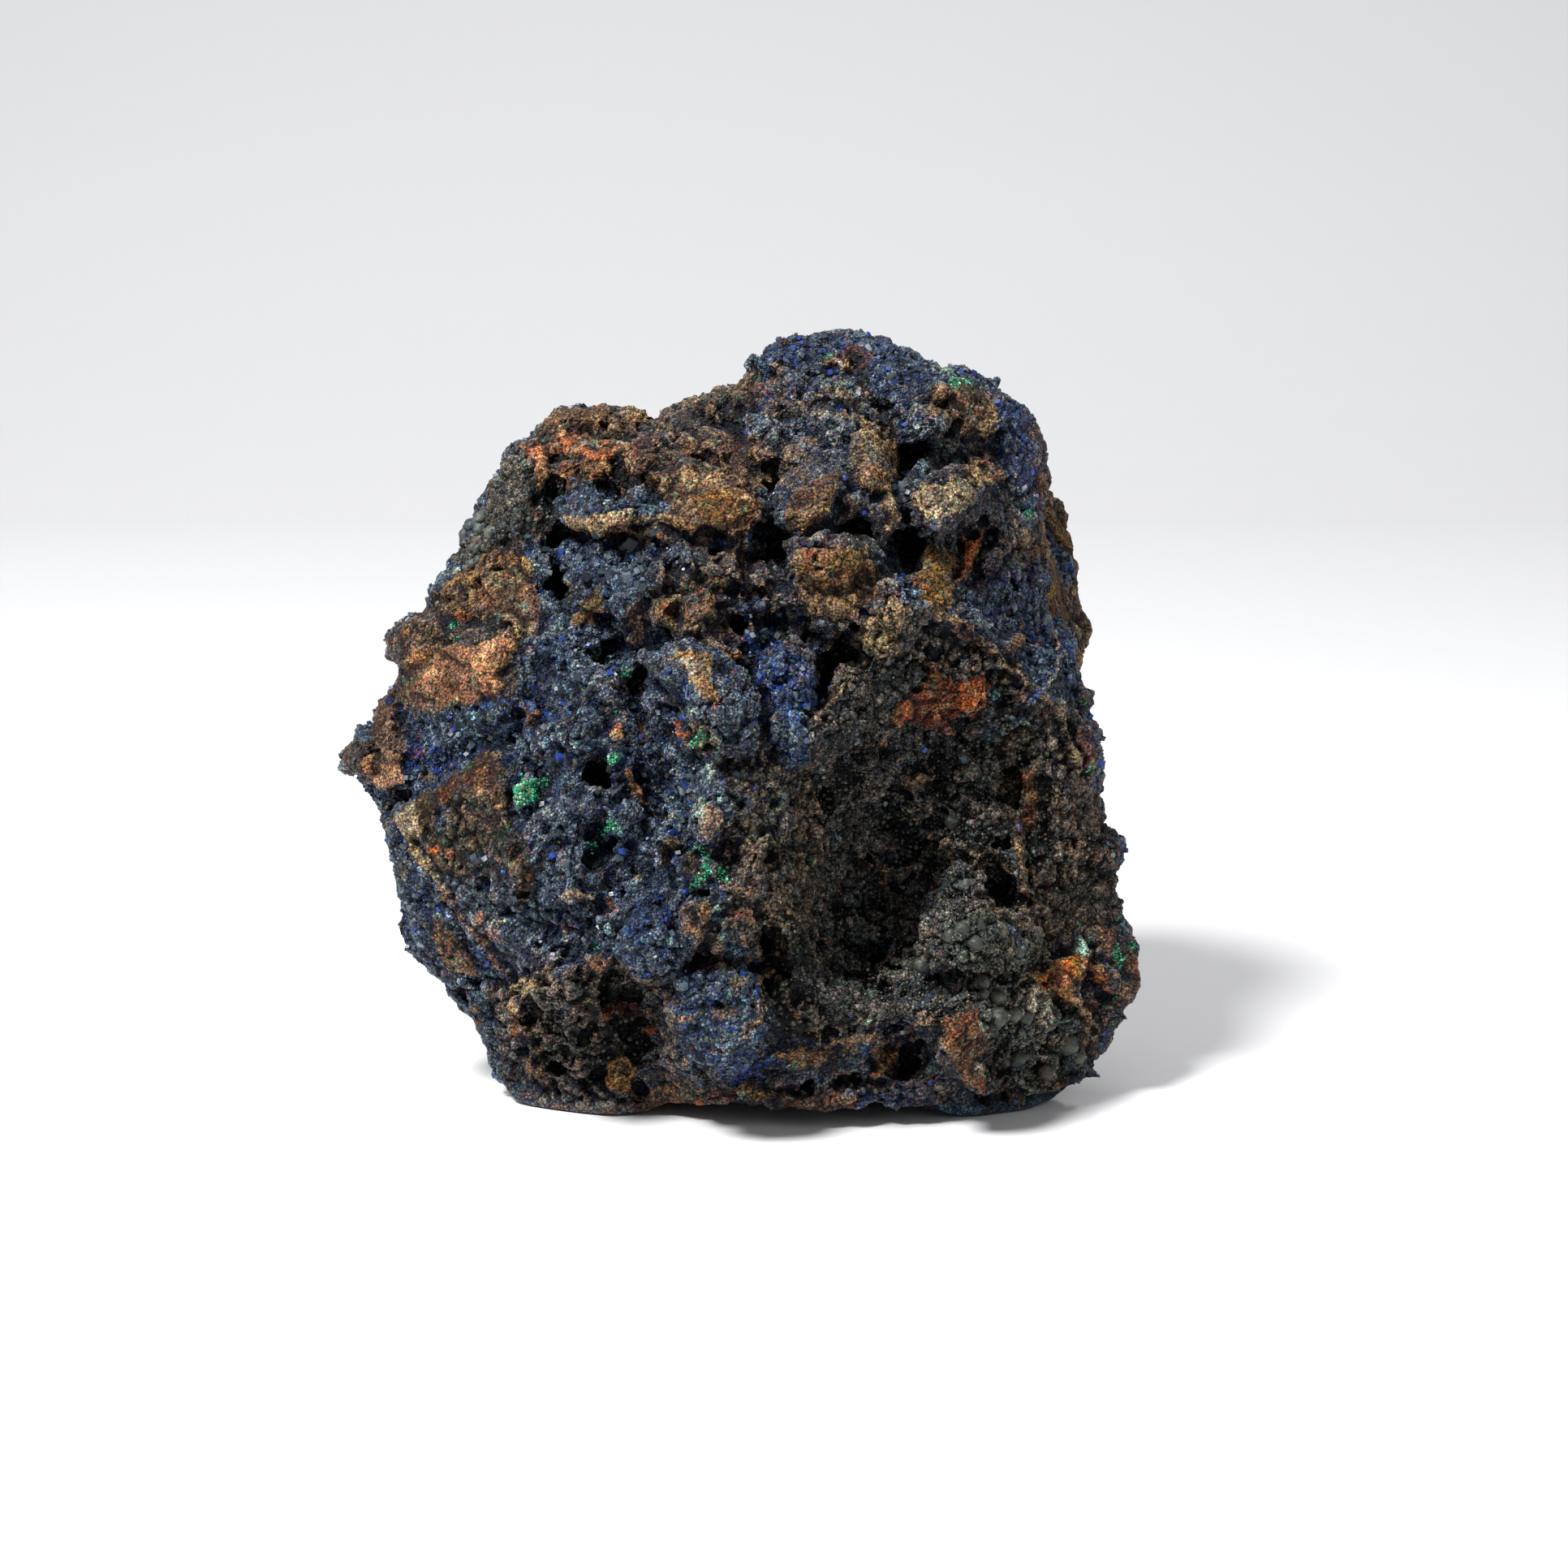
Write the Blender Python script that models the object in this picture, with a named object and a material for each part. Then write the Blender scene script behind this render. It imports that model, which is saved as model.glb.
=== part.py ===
"""Azurite specimen: a hand-sized lump of iron-oxide matrix with azurite and malachite grown over it.

Two pieces: host_rock, the whole grown-together lump, and hollow_crust, the dark bubbly crust that lines
the large open hollow low on the right of the front.

The forms are laid out as they are seen from VIEWPOINT_DISTANCE in front and VIEWPOINT_TILT above, in
millimetres: u to the right of the middle, v above the foot, w towards the viewer from the middle depth.
"""

import math
import random

import bmesh
import bpy
import numpy as np
from mathutils import Vector, noise

MM = 0.001

# Driving dimensions, in millimetres and degrees.
HALF_DEPTH_FRONT = 23.0
HALF_DEPTH_BACK = 28.0
FOOT_BELOW_MIDDLE = 36.3
MIDDLE_V = 40.0
VIEWPOINT_DISTANCE = 380.0
VIEWPOINT_TILT = 10.0
VIEW_AXIS_U = 4.2
VIEW_AXIS_V = 34.3
SHOULDER_POWER = 2.5
LEAN_BACK = 0.10
OUTLINE_BAND = 0.28
WANDER = 1.3
GRAIN = 1.5
ROCK_TRIANGLES = 7300
FLAT_WITHIN = 0.06
CRUST_GAP = 1.0
CRUST_THICKNESS = 0.7
CRUST_RIM = 0.5
CRUST_LEAST_FACING = 0.2

# The outline seen from the front, as (u, v), anticlockwise from the right. It runs below the foot,
# where the ground plane cuts it.
OUTLINE = [
    (36.8, 38.8), (35.5, 44.0), (34.2, 50.3), (32.5, 52.4), (32.1, 56.8), (31.2, 61.2), (31.5, 67.2),
    (30.6, 70.5), (28.2, 74.1), (25.1, 74.9), (22.1, 76.3), (19.4, 79.0), (15.3, 80.8), (7.6, 81.0),
    (2.4, 79.8), (0.7, 76.6), (-4.7, 74.9), (-10.2, 72.7), (-12.3, 73.1), (-16.7, 73.0), (-19.5, 72.2),
    (-21.1, 69.7), (-23.3, 69.4), (-24.9, 68.3), (-25.5, 66.1), (-28.2, 62.0), (-29.4, 60.1),
    (-28.5, 58.2), (-30.1, 56.3), (-32.1, 54.1), (-32.6, 51.6), (-35.8, 50.3), (-36.3, 49.0),
    (-35.4, 45.3), (-37.5, 42.0), (-38.5, 38.9), (-40.7, 37.8), (-41.0, 36.3), (-39.6, 34.7),
    (-37.0, 30.6), (-36.4, 25.6), (-35.9, 20.2), (-35.3, 16.3), (-32.6, 14.6), (-31.0, 12.2),
    (-27.6, 8.1), (-26.3, 4.8), (-23.8, 0.5), (-20.0, -3.0), (-12.0, -4.5), (2.0, -4.5), (16.0, -4.5),
    (27.0, -3.5), (33.5, 1.5), (37.2, 6.8), (39.4, 11.4), (40.8, 14.7), (40.9, 18.0), (39.0, 22.9),
    (39.6, 26.7), (39.4, 28.8), (37.4, 30.2), (36.9, 34.9),
]

# Flat broken faces, as the direction they face in (u, v, w) and their distance from the middle.
FACETS = [
    ((-0.62, 0.36, 0.70), 31.0),
    ((-0.60, -0.22, 0.77), 31.5),
    ((-0.50, -0.66, 0.56), 34.5),
    ((0.10, 0.72, 0.69), 35.0),
    ((0.78, 0.28, 0.56), 33.0),
    ((0.86, -0.30, 0.42), 36.0),
    ((-0.75, 0.40, -0.53), 34.0),
    ((0.15, 0.62, -0.77), 34.5),
    ((0.70, 0.10, -0.71), 32.5),
    ((-0.25, -0.15, -0.96), 28.5),
    ((0.45, -0.55, -0.70), 33.0),
    ((-0.68, -0.48, -0.55), 35.0),
]
FACET_SHARPNESS = 22.0

# Lumps (height above 0) and hollows (below 0) of the front: (u, v, radius u, radius v, turn, height, edge).
# An edge of 1 is a soft dome; higher is a flatter top with a steeper side.
FRONT_LUMPS = [
    # the bossed column down the middle
    (-5.2, 45.0, 6.5, 6.5, 0, 4.2, 1.4),
    (-1.5, 36.5, 7.5, 9.0, 10, 4.0, 1.2),
    (-2.5, 26.5, 8.0, 9.5, 0, 4.2, 1.2),
    (0.0, 20.0, 6.5, 7.5, 0, 3.2, 1.6),
    (-10.5, 18.6, 6.0, 5.2, -20, 3.4, 1.8),
    (-3.5, 9.0, 7.5, 6.5, 15, 4.4, 1.8),
    (-15.5, 39.0, 8.5, 9.5, 20, 2.2, 1.4),
    (-17.0, 27.0, 8.0, 7.0, 0, 1.8, 1.4),
    # the large hollow, its deep left side, and what stands in it
    (19.5, 25.5, 15.5, 19.0, -8, -7.0, 1.5),
    (15.0, 22.0, 8.5, 13.0, -6, -6.0, 1.3),
    (21.5, 20.5, 5.0, 4.5, 0, 3.8, 1.4),
    (23.5, 25.0, 3.6, 3.4, 0, 3.2, 1.5),
    (12.5, 29.0, 4.5, 6.0, 0, 1.6, 1.2),
    (26.0, 15.6, 8.0, 6.0, -20, 5.6, 1.2),
    (22.5, 15.5, 3.6, 3.4, 0, 1.6, 1.2),
    (28.0, 9.6, 4.4, 4.8, 10, 4.0, 1.5),
    (31.8, 7.5, 4.6, 5.0, 0, 3.4, 1.6),
    (33.6, 14.5, 3.0, 5.0, -20, 3.0, 1.4),
    (30.5, 26.0, 3.0, 9.0, -6, 2.6, 1.4),
    (33.0, 22.0, 3.2, 7.0, 0, 2.0, 1.2),
    (29.0, 31.5, 3.0, 5.0, 0, -3.0, 1.3),
    # rust lump and the small cave under it
    (22.8, 8.6, 3.9, 5.6, -12, 4.6, 2.0),
    (17.2, 5.8, 3.8, 2.8, 0, -5.0, 1.8),
    (9.5, 4.5, 7.5, 2.6, 5, -2.0, 1.5),
    # knobbly foot at the lower left, and the gash beside it
    (-18.0, 8.8, 6.6, 8.5, 8, 5.0, 2.0),
    (-21.5, 14.5, 3.6, 3.6, 0, 2.2, 1.5),
    (-10.2, 9.4, 3.0, 5.5, 20, -4.6, 1.4),
    # upper ledges and mounds
    (-7.4, 62.8, 11.0, 4.6, -4, 4.0, 2.4),
    (-15.8, 61.6, 4.2, 4.4, 0, 2.6, 2.0),
    (9.4, 61.4, 6.2, 5.4, 0, 4.0, 2.2),
    (7.8, 54.6, 7.0, 4.8, 6, 3.6, 2.2),
    (9.5, 71.0, 9.0, 8.0, 0, 2.8, 2.4),
    (15.2, 64.8, 2.6, 6.5, 4, 2.4, 1.8),
    (22.2, 72.6, 5.6, 4.6, -14, 4.6, 2.2),
    (18.6, 70.4, 3.6, 2.6, 0, 2.2, 1.8),
    (21.4, 64.2, 5.2, 3.4, 0, 3.8, 2.0),
    (26.6, 62.2, 3.4, 6.5, 18, 1.6, 1.4),
    (-6.3, 54.2, 6.4, 5.6, 0, 3.0, 1.8),
    (-12.0, 55.0, 3.6, 4.4, 0, 1.6, 1.4),
    (4.9, 44.6, 4.6, 4.6, 0, 4.2, 2.0),
    (2.0, 48.6, 4.0, 3.2, -30, 1.4, 1.4),
    (-14.0, 68.4, 8.0, 2.8, 8, 1.8, 1.6),
    (-24.4, 63.6, 4.6, 6.0, 20, 2.0, 1.6),
    (-27.6, 59.4, 3.0, 3.0, 0, 2.0, 1.6),
    (12.0, 78.0, 7.0, 3.6, 0, 1.6, 1.4),
    # left: the pink slab, the maroon slab and the knob on the outline
    (-29.0, 44.5, 7.0, 6.6, 20, 1.8, 2.4),
    (-28.0, 29.0, 7.5, 7.5, 30, 1.6, 2.6),
    (-37.0, 37.5, 4.0, 5.0, 0, 1.4, 1.6),
    # pits
    (12.0, 60.2, 2.4, 1.5, 0, -4.6, 1.8),
    (17.4, 59.2, 2.4, 3.2, 0, -7.0, 1.8),
    (23.8, 59.0, 2.2, 3.6, -25, -5.0, 1.6),
    (-19.2, 56.0, 2.2, 3.4, 10, -4.4, 1.6),
    (-19.8, 59.6, 1.8, 1.8, 0, -3.0, 1.6),
    (-15.9, 64.9, 2.6, 1.5, -12, -3.4, 1.8),
    (-14.9, 35.8, 2.0, 1.3, 0, -4.4, 2.0),
    (-15.2, 28.0, 2.0, 2.8, 20, -4.6, 1.8),
    (-13.2, 48.6, 1.9, 1.3, 0, -3.2, 1.8),
    (2.5, 15.5, 2.4, 3.0, 0, -4.2, 1.6),
    (6.0, 34.0, 2.0, 2.6, 0, -2.4, 1.4),
]

# Ridges (height above 0) and cracks (below 0): points (u, v), half width, height.
FRONT_LINES = [
    ([(6.6, 40.2), (11.0, 46.0), (16.4, 53.2)], 2.7, 5.6),
    ([(16.4, 53.2), (20.5, 52.2), (26.5, 48.6), (31.0, 43.4)], 2.2, 3.0),
    ([(31.0, 43.4), (34.0, 36.0), (36.0, 26.5)], 2.0, 2.4),
    ([(7.0, 40.0), (5.4, 31.0), (6.6, 22.0), (5.0, 15.5)], 1.8, 2.6),
    ([(6.5, 13.5), (15.0, 9.6), (23.0, 11.6)], 1.6, 3.0),
    ([(7.4, 42.8), (9.6, 46.6), (13.2, 50.6)], 1.7, -6.8),
    ([(16.4, 66.8), (15.0, 72.4), (12.4, 76.8)], 1.6, -5.4),
    ([(16.8, 68.2), (20.6, 68.0), (25.4, 68.4)], 1.2, -3.2),
    ([(-7.8, 47.4), (-10.4, 44.0), (-10.8, 41.6)], 1.3, -4.4),
    ([(-18.6, 66.0), (-19.2, 61.0), (-18.0, 54.0)], 1.3, -3.0),
    ([(-35.4, 31.6), (-29.6, 24.4), (-22.6, 14.6)], 1.5, 2.6),
    ([(-36.5, 27.0), (-31.0, 19.0), (-25.0, 10.0)], 3.4, -3.4),
    ([(-35.0, 36.8), (-30.0, 37.6), (-24.0, 38.2)], 1.2, -2.2),
    ([(-21.4, 46.0), (-22.0, 40.0), (-20.4, 34.0)], 1.4, -1.8),
    ([(2.6, 66.2), (3.6, 60.4), (4.2, 57.2)], 1.2, -3.6),
    ([(-17.0, 58.4), (-8.0, 58.0), (1.0, 58.6)], 1.3, -2.4),
    ([(17.6, 56.4), (17.0, 52.6)], 1.0, -3.0),
    ([(-2.0, 51.2), (3.0, 52.0), (6.5, 49.4)], 1.1, -2.4),
    ([(-14.0, 13.0), (-4.0, 15.0), (2.0, 13.6)], 1.0, -1.8),
]

# The hollow's lining, as (u, v) round its edge.
CRUST_EDGE = [
    (8.4, 38.6), (13.4, 44.6), (17.2, 49.2), (23.4, 46.2), (29.2, 40.4), (32.2, 33.0), (33.4, 24.0),
    (32.0, 17.4), (26.0, 12.4), (19.6, 12.2), (12.6, 12.4), (7.6, 15.6), (8.2, 23.0), (7.4, 31.0),
]

# Round the sides and the back the forms are as the front's but strewn, with this seed.
BACK_SEED = 11
BACK_LUMPS = 64
BACK_PITS = 34

# The four low bosses that carry the weight: (x, y, radius) on the ground.
FEET = [(-16.0, -14.0, 7.0), (24.0, -12.0, 7.0), (17.0, 8.0, 7.5), (-14.0, 8.0, 7.5)]
FOOT_LIFT = 1.7
FOOT_HEIGHT = 6.0


def smoothstep(low, high, x):
    t = np.clip((x - low) / (high - low), 0.0, 1.0)
    return t * t * (3.0 - 2.0 * t)


def cell_bumps(points, cell):
    """Rounded lumps of about one cell across, from 0 in the seams to 1 on the tops."""
    out = np.empty(len(points))
    for i, p in enumerate(points / cell):
        near, following = noise.voronoi(Vector(p))[0][:2]
        out[i] = following - near
    return np.sqrt(np.clip(out, 0.0, 1.0))


def rough(points, scale, octaves):
    """Fractal noise of about -1 to 1 with forms of the given scale."""
    return np.array([noise.fractal(Vector(p), 0.7, 2.1, octaves) for p in points / scale])


def outline_radius(angles, spread):
    """The least that the outline is from the middle within this many radians of each angle."""
    points = np.array(OUTLINE) - (0.0, MIDDLE_V)
    turns = np.arctan2(points[:, 1], points[:, 0])
    order = np.argsort(turns)
    reach = np.hypot(*points.T)[order]
    steps = np.linspace(-spread, spread, 13)
    return np.min([np.interp(angles + step, turns[order], reach, period=2 * math.pi) for step in steps], 0)


def base_points(directions):
    """The specimen's blocky body: where each direction from the middle meets it, as (u, v, w)."""
    flat = np.hypot(directions[:, 0], directions[:, 1])
    angles = np.arctan2(directions[:, 1], directions[:, 0])
    # The outline's small teeth are local to it, and don't run on over the front or the back.
    near_outline = np.exp(-((directions[:, 2] / OUTLINE_BAND) ** 2))
    broad = 0.5 * (outline_radius(angles, 0.30) + outline_radius(angles, 0.12))
    reach = broad + near_outline * (outline_radius(angles, 0.0) - broad)
    depth = np.where(directions[:, 2] > 0, HALF_DEPTH_FRONT, HALF_DEPTH_BACK)
    terms = [(flat / reach) ** SHOULDER_POWER + (np.abs(directions[:, 2]) / depth) ** SHOULDER_POWER]
    radius = terms[0] ** (-1.0 / SHOULDER_POWER)
    limits = [radius]
    for normal, distance in FACETS:
        across = directions @ (np.array(normal) / np.linalg.norm(normal))
        limits.append(distance / np.maximum(across, 0.05))
    blended = sum((limit / radius) ** -FACET_SHARPNESS for limit in limits)
    radius = radius * blended ** (-1.0 / FACET_SHARPNESS)
    # The blend rounds every edge a little, which the outline must not lose.
    edge = smoothstep(0.25, 0.0, np.abs(directions[:, 2]))
    radius = radius * (1 - edge) + limits[0] * edge
    points = directions * radius[:, None]
    points[:, 2] -= LEAN_BACK * points[:, 1]
    points[:, 1] += MIDDLE_V
    return points


def lump_height(u, v, lump):
    """The height that one lump or hollow adds at (u, v)."""
    at_u, at_v, radius_u, radius_v, turn, height, edge = lump
    c, s = math.cos(math.radians(turn)), math.sin(math.radians(turn))
    across = ((u - at_u) * c + (v - at_v) * s) / radius_u
    along = ((v - at_v) * c - (u - at_u) * s) / radius_v
    rim = np.clip(1.0 - (across**2 + along**2) ** edge, 0.0, 1.0)
    return height * rim * rim * (3.0 - 2.0 * rim)


def distance_to_line(u, v, points):
    """How far (u, v) is from a line through these points."""
    here = np.stack([u, v], 1)
    best = np.full(len(u), 1e9)
    for start, end in zip(points[:-1], points[1:]):
        start, run = np.array(start), np.subtract(end, start)
        share = np.clip((here - start) @ run / (run @ run), 0.0, 1.0)
        best = np.minimum(best, np.linalg.norm(here - start - share[:, None] * run, axis=1))
    return best


def inside(u, v, outline):
    """Whether each (u, v) is inside the closed outline."""
    within = np.zeros(len(u), bool)
    for (u1, v1), (u2, v2) in zip(outline, outline[1:] + outline[:1]):
        crosses = (v1 > v) != (v2 > v)
        within ^= crosses & (u < u1 + (v - v1) * (u2 - u1) / (v2 - v1 if v2 != v1 else 1.0))
    return within


def wandered(u, v):
    """(u, v) moved about a little, so that no edge of a form runs straight or round."""
    places = np.stack([u, v, np.zeros(len(u))], 1)
    return u + WANDER * rough(places, 8.0, 2), v + WANDER * rough(places + 100.0, 8.0, 2)


def front_relief(u, v):
    """How far the front stands out at (u, v)."""
    height = np.zeros(len(u))
    u, v = wandered(u, v)
    for lump in FRONT_LUMPS:
        height += lump_height(u, v, lump)
    for points, half_width, rise in FRONT_LINES:
        height += rise * np.exp(-((distance_to_line(u, v, points) / half_width) ** 2))
    return height


def back_relief(directions):
    """Lumps and pits strewn round the sides and the back, by direction from the middle."""
    chance = random.Random(BACK_SEED)
    height = np.zeros(len(directions))
    offsets = [rough(directions + 10.0 * axis, 0.22, 3) for axis in range(3)]
    directions = directions + 0.075 * np.stack(offsets, 1)
    for number in range(BACK_LUMPS + BACK_PITS):
        turn, level = chance.uniform(0, 2 * math.pi), chance.uniform(-1.0, 0.35)
        side = math.sqrt(1 - level * level)
        middle = np.array([side * math.cos(turn), side * math.sin(turn), level])
        if number < BACK_LUMPS:
            spread = chance.uniform(0.12, 0.42)
            rise = chance.uniform(5.0, 10.0) * spread
        else:
            spread = chance.uniform(0.06, 0.16)
            rise = chance.uniform(-26.0, -14.0) * spread
        away = np.linalg.norm(directions - middle, axis=1) / spread
        rim = np.clip(1.0 - away**3, 0.0, 1.0)
        height += rise * rim * rim * (3.0 - 2.0 * rim)
    return height


def to_world(points):
    """(u, v, w) as seen from the viewpoint, to (x, y, z) with the ground at z 0."""
    tilt = math.radians(VIEWPOINT_TILT)
    nearer = (VIEWPOINT_DISTANCE - points[:, 2]) / VIEWPOINT_DISTANCE
    u = VIEW_AXIS_U + (points[:, 0] - VIEW_AXIS_U) * nearer
    v = VIEW_AXIS_V + (points[:, 1] - VIEW_AXIS_V) * nearer - MIDDLE_V
    w = points[:, 2]
    y = v * math.sin(tilt) - w * math.cos(tilt)
    z = v * math.cos(tilt) + w * math.sin(tilt) + FOOT_BELOW_MIDDLE
    return np.stack([u, y, z], 1)


def stand_on_ground(world):
    """Brings the underside down flat at the feet, and hollows it a little between them."""
    x, y, z = world.T
    away = np.min([np.hypot(x - fx, y - fy) / radius for fx, fy, radius in FEET], axis=0)
    z = np.where(z < FOOT_HEIGHT, z * smoothstep(0.85, 1.35, away), z)
    floor = FOOT_LIFT * smoothstep(0.9, 1.5, away)
    floor += 0.5 * smoothstep(1.2, 1.8, away) * rough(world, 5.0, 3)
    world[:, 2] = np.where(z < floor, floor, z)
    return world


def in_hollow(points):
    """1 well inside the edge of the large hollow, fading to 0 outside it."""
    edge = distance_to_line(points[:, 0], points[:, 1], [*CRUST_EDGE, CRUST_EDGE[0]])
    return smoothstep(-1.5, 1.5, np.where(inside(points[:, 0], points[:, 1], CRUST_EDGE), edge, -edge))


def rock_surface(directions):
    """The finished surface of the rock, in millimetres in the part's own frame."""
    body = base_points(directions)
    facing = smoothstep(0.05, 0.50, directions[:, 2])
    body[:, 2] += facing * front_relief(body[:, 0], body[:, 1])
    outward = body - (0.0, MIDDLE_V, 0.0)
    outward /= np.linalg.norm(outward, axis=1)[:, None]
    strewn = back_relief(directions) * smoothstep(0.42, 0.05, directions[:, 2])
    grain = GRAIN * (cell_bumps(body, 7.5) + 0.6 * cell_bumps(body, 4.0) - 1.15) + 0.8 * rough(body, 9.0, 4)
    grain += 2.0 * (1.0 - facing) * rough(body + 50.0, 16.0, 3)
    # Both fade at the outline, which they would bend, and the grain fades under the crust.
    off_outline = smoothstep(0.05, 0.60, np.abs(directions[:, 2]))
    grain *= (0.45 + 0.75 * off_outline) * (1.0 - 0.85 * facing * in_hollow(body))
    body += outward * (strewn * off_outline + grain)[:, None]
    return stand_on_ground(to_world(body))


def material(name, colour, roughness):
    made = bpy.data.materials.new(name)
    made.use_nodes = True
    shader = made.node_tree.nodes["Principled BSDF"]
    shader.inputs["Base Color"].default_value = (*colour, 1.0)
    shader.inputs["Roughness"].default_value = roughness
    shader.inputs["Metallic"].default_value = 0.0
    return made


def apply_modifiers(obj):
    """Gives the object the mesh that its modifiers make."""
    graph = bpy.context.evaluated_depsgraph_get()
    mesh = bpy.data.meshes.new_from_object(obj.evaluated_get(graph))
    obj.modifiers.clear()
    obj.data = mesh


def points_of(obj):
    """The object's vertices, in millimetres."""
    return np.array([v.co for v in obj.data.vertices], float) / MM


def place_points(obj, points):
    """Moves the object's vertices to these points, given in millimetres."""
    obj.data.vertices.foreach_set("co", (points * MM).astype(np.float32).ravel())
    obj.data.update()


def make_rock(collection):
    """The rock: a fine sphere pushed out to the surface, then thinned where it is flat."""
    mesh = bpy.data.meshes.new("host_rock")
    ball = bmesh.new()
    bmesh.ops.create_icosphere(ball, subdivisions=7, radius=1.0)
    ball.to_mesh(mesh)
    ball.free()
    rock = bpy.data.objects.new("host_rock", mesh)
    collection.objects.link(rock)
    directions = points_of(rock)
    directions /= np.linalg.norm(directions, axis=1)[:, None]
    # More of the points go to the detailed front than to the back.
    directions[:, 2] += 0.12
    directions /= np.linalg.norm(directions, axis=1)[:, None]
    place_points(rock, rock_surface(directions))
    worn = rock.modifiers.new("Worn", "SMOOTH")
    worn.factor = 0.5
    worn.iterations = 5
    thin = rock.modifiers.new("Thin", "DECIMATE")
    thin.ratio = ROCK_TRIANGLES / len(mesh.polygons)
    apply_modifiers(rock)
    rock.data.materials.append(material("rock", (0.16, 0.11, 0.075), 0.85))
    points = points_of(rock)
    points[points[:, 2] < FLAT_WITHIN, 2] = 0.0
    place_points(rock, points)
    return rock


def centre_on_ground(objects):
    """Moves the objects so that the origin is under the middle of them."""
    points = np.concatenate([points_of(obj) for obj in objects])
    middle = (points.min(0) + points.max(0)) / 2
    print("shift", middle)
    for obj in objects:
        place_points(obj, points_of(obj) - (middle[0], middle[1], 0.0))


def towards_viewer():
    """The direction from the rock to the viewpoint."""
    tilt = math.radians(VIEWPOINT_TILT)
    return np.array([0.0, -math.cos(tilt), math.sin(tilt)])


def seen_from_front(points):
    """Where these points are seen from the viewpoint: (u, v) as in the lists above."""
    x, y, z = points.T
    tilt = math.radians(VIEWPOINT_TILT)
    up = (z - FOOT_BELOW_MIDDLE) * math.cos(tilt) + y * math.sin(tilt)
    w = (z - FOOT_BELOW_MIDDLE) * math.sin(tilt) - y * math.cos(tilt)
    nearer = (VIEWPOINT_DISTANCE - w) / VIEWPOINT_DISTANCE
    u = VIEW_AXIS_U + (x - VIEW_AXIS_U) / nearer
    v = VIEW_AXIS_V + (up + MIDDLE_V - VIEW_AXIS_V) / nearer
    return u, v


def lined_faces(rock, points):
    """The rock's triangles inside the crust's edge that face the viewpoint, as rows of vertex numbers."""
    rock.data.calc_loop_triangles()
    faces = np.array([t.vertices for t in rock.data.loop_triangles])
    normals = np.array([t.normal for t in rock.data.loop_triangles])
    u, v = seen_from_front(points[faces].mean(1))
    chosen = inside(u, v, CRUST_EDGE) & (normals @ towards_viewer() > CRUST_LEAST_FACING)
    return faces[chosen]


def rim_of(faces):
    """The sheet's rim: each edge, as (from, to), that only one face has."""
    ends = np.concatenate([faces[:, [0, 1]], faces[:, [1, 2]], faces[:, [2, 0]]])
    has = {tuple(edge) for edge in ends.tolist()}
    return [edge for edge in sorted(has) if edge[::-1] not in has]


def connected(faces):
    """The largest part of these faces that hangs together by edges."""
    by_edge = {}
    for number, (a, b, c) in enumerate(faces.tolist()):
        for edge in ((a, b), (b, c), (c, a)):
            by_edge.setdefault(tuple(sorted(edge)), []).append(number)
    near = {number: set() for number in range(len(faces))}
    for sharing in by_edge.values():
        for number in sharing:
            near[number].update(sharing)
    unseen, largest = set(near), []
    while unseen:
        reached, waiting = [], [min(unseen)]
        unseen.discard(waiting[0])
        while waiting:
            reached.append(waiting.pop())
            found = near[reached[-1]] & unseen
            unseen -= found
            waiting.extend(found)
        largest = max(largest, reached, key=len)
    return faces[sorted(largest)]


def one_sheet(faces):
    """The faces as one sheet with a clean rim: no spikes, and no corner that the rim passes twice."""
    while True:
        faces = connected(faces)
        passed = np.bincount([start for start, _ in rim_of(faces)], minlength=faces.max() + 1)
        spiked = (passed[faces] > 0).all(1)
        worn = (passed[faces] > 1).any(1) | spiked
        if not worn.any():
            return faces
        faces = faces[~worn]


def crust_thickness(points):
    """How thick the crust is at these points: round lumps of two sizes."""
    return CRUST_THICKNESS + 1.5 * cell_bumps(points, 4.6) + 0.5 * cell_bumps(points + 31.0, 2.6)


def make_crust(collection, rock):
    """The crust: the rock's own surface in the hollow, moved clear of it, and given its thickness.

    Both its sides are that sheet moved straight towards the viewpoint, so it can't run into the rock.
    """
    points = points_of(rock)
    used, faces = np.unique(one_sheet(lined_faces(rock, points)), return_inverse=True)
    faces = faces.reshape(-1, 3)
    under = points[used] + CRUST_GAP * towards_viewer()
    thickness = crust_thickness(under)
    rim = rim_of(faces)
    thickness[[start for start, _ in rim]] = CRUST_RIM
    over = under + thickness[:, None] * towards_viewer()
    count = len(used)
    walls = [(end + count, start + count, start, end) for start, end in rim]
    polygons = faces[:, ::-1].tolist() + (faces + count).tolist() + walls
    mesh = bpy.data.meshes.new("hollow_crust")
    mesh.from_pydata(np.concatenate([under, over]) * MM, [], polygons)
    mesh.update()
    crust = bpy.data.objects.new("hollow_crust", mesh)
    collection.objects.link(crust)
    crust.data.materials.append(material("crust", (0.035, 0.035, 0.038), 0.8))
    return crust


def main():
    for obj in list(bpy.data.objects):
        bpy.data.objects.remove(obj)
    collection = bpy.data.collections.new("azurite_specimen")
    bpy.context.scene.collection.children.link(collection)
    rock = make_rock(collection)
    crust = make_crust(collection, rock)
    centre_on_ground([rock, crust])


main()
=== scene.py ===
"""The azurite specimen: its looks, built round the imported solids.

The lump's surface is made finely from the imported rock, and raised, sunk and coloured in code: by rules all
round, and on the front by forms placed one by one. Crystals, beads and bubbles then stand on it.

Lengths are in millimetres until the last step. Places on the front are (x, y) as the camera sees them, in
picture units: twelfths of a millimetre from the upper left of a picture 1932 across.
"""

import math

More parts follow.
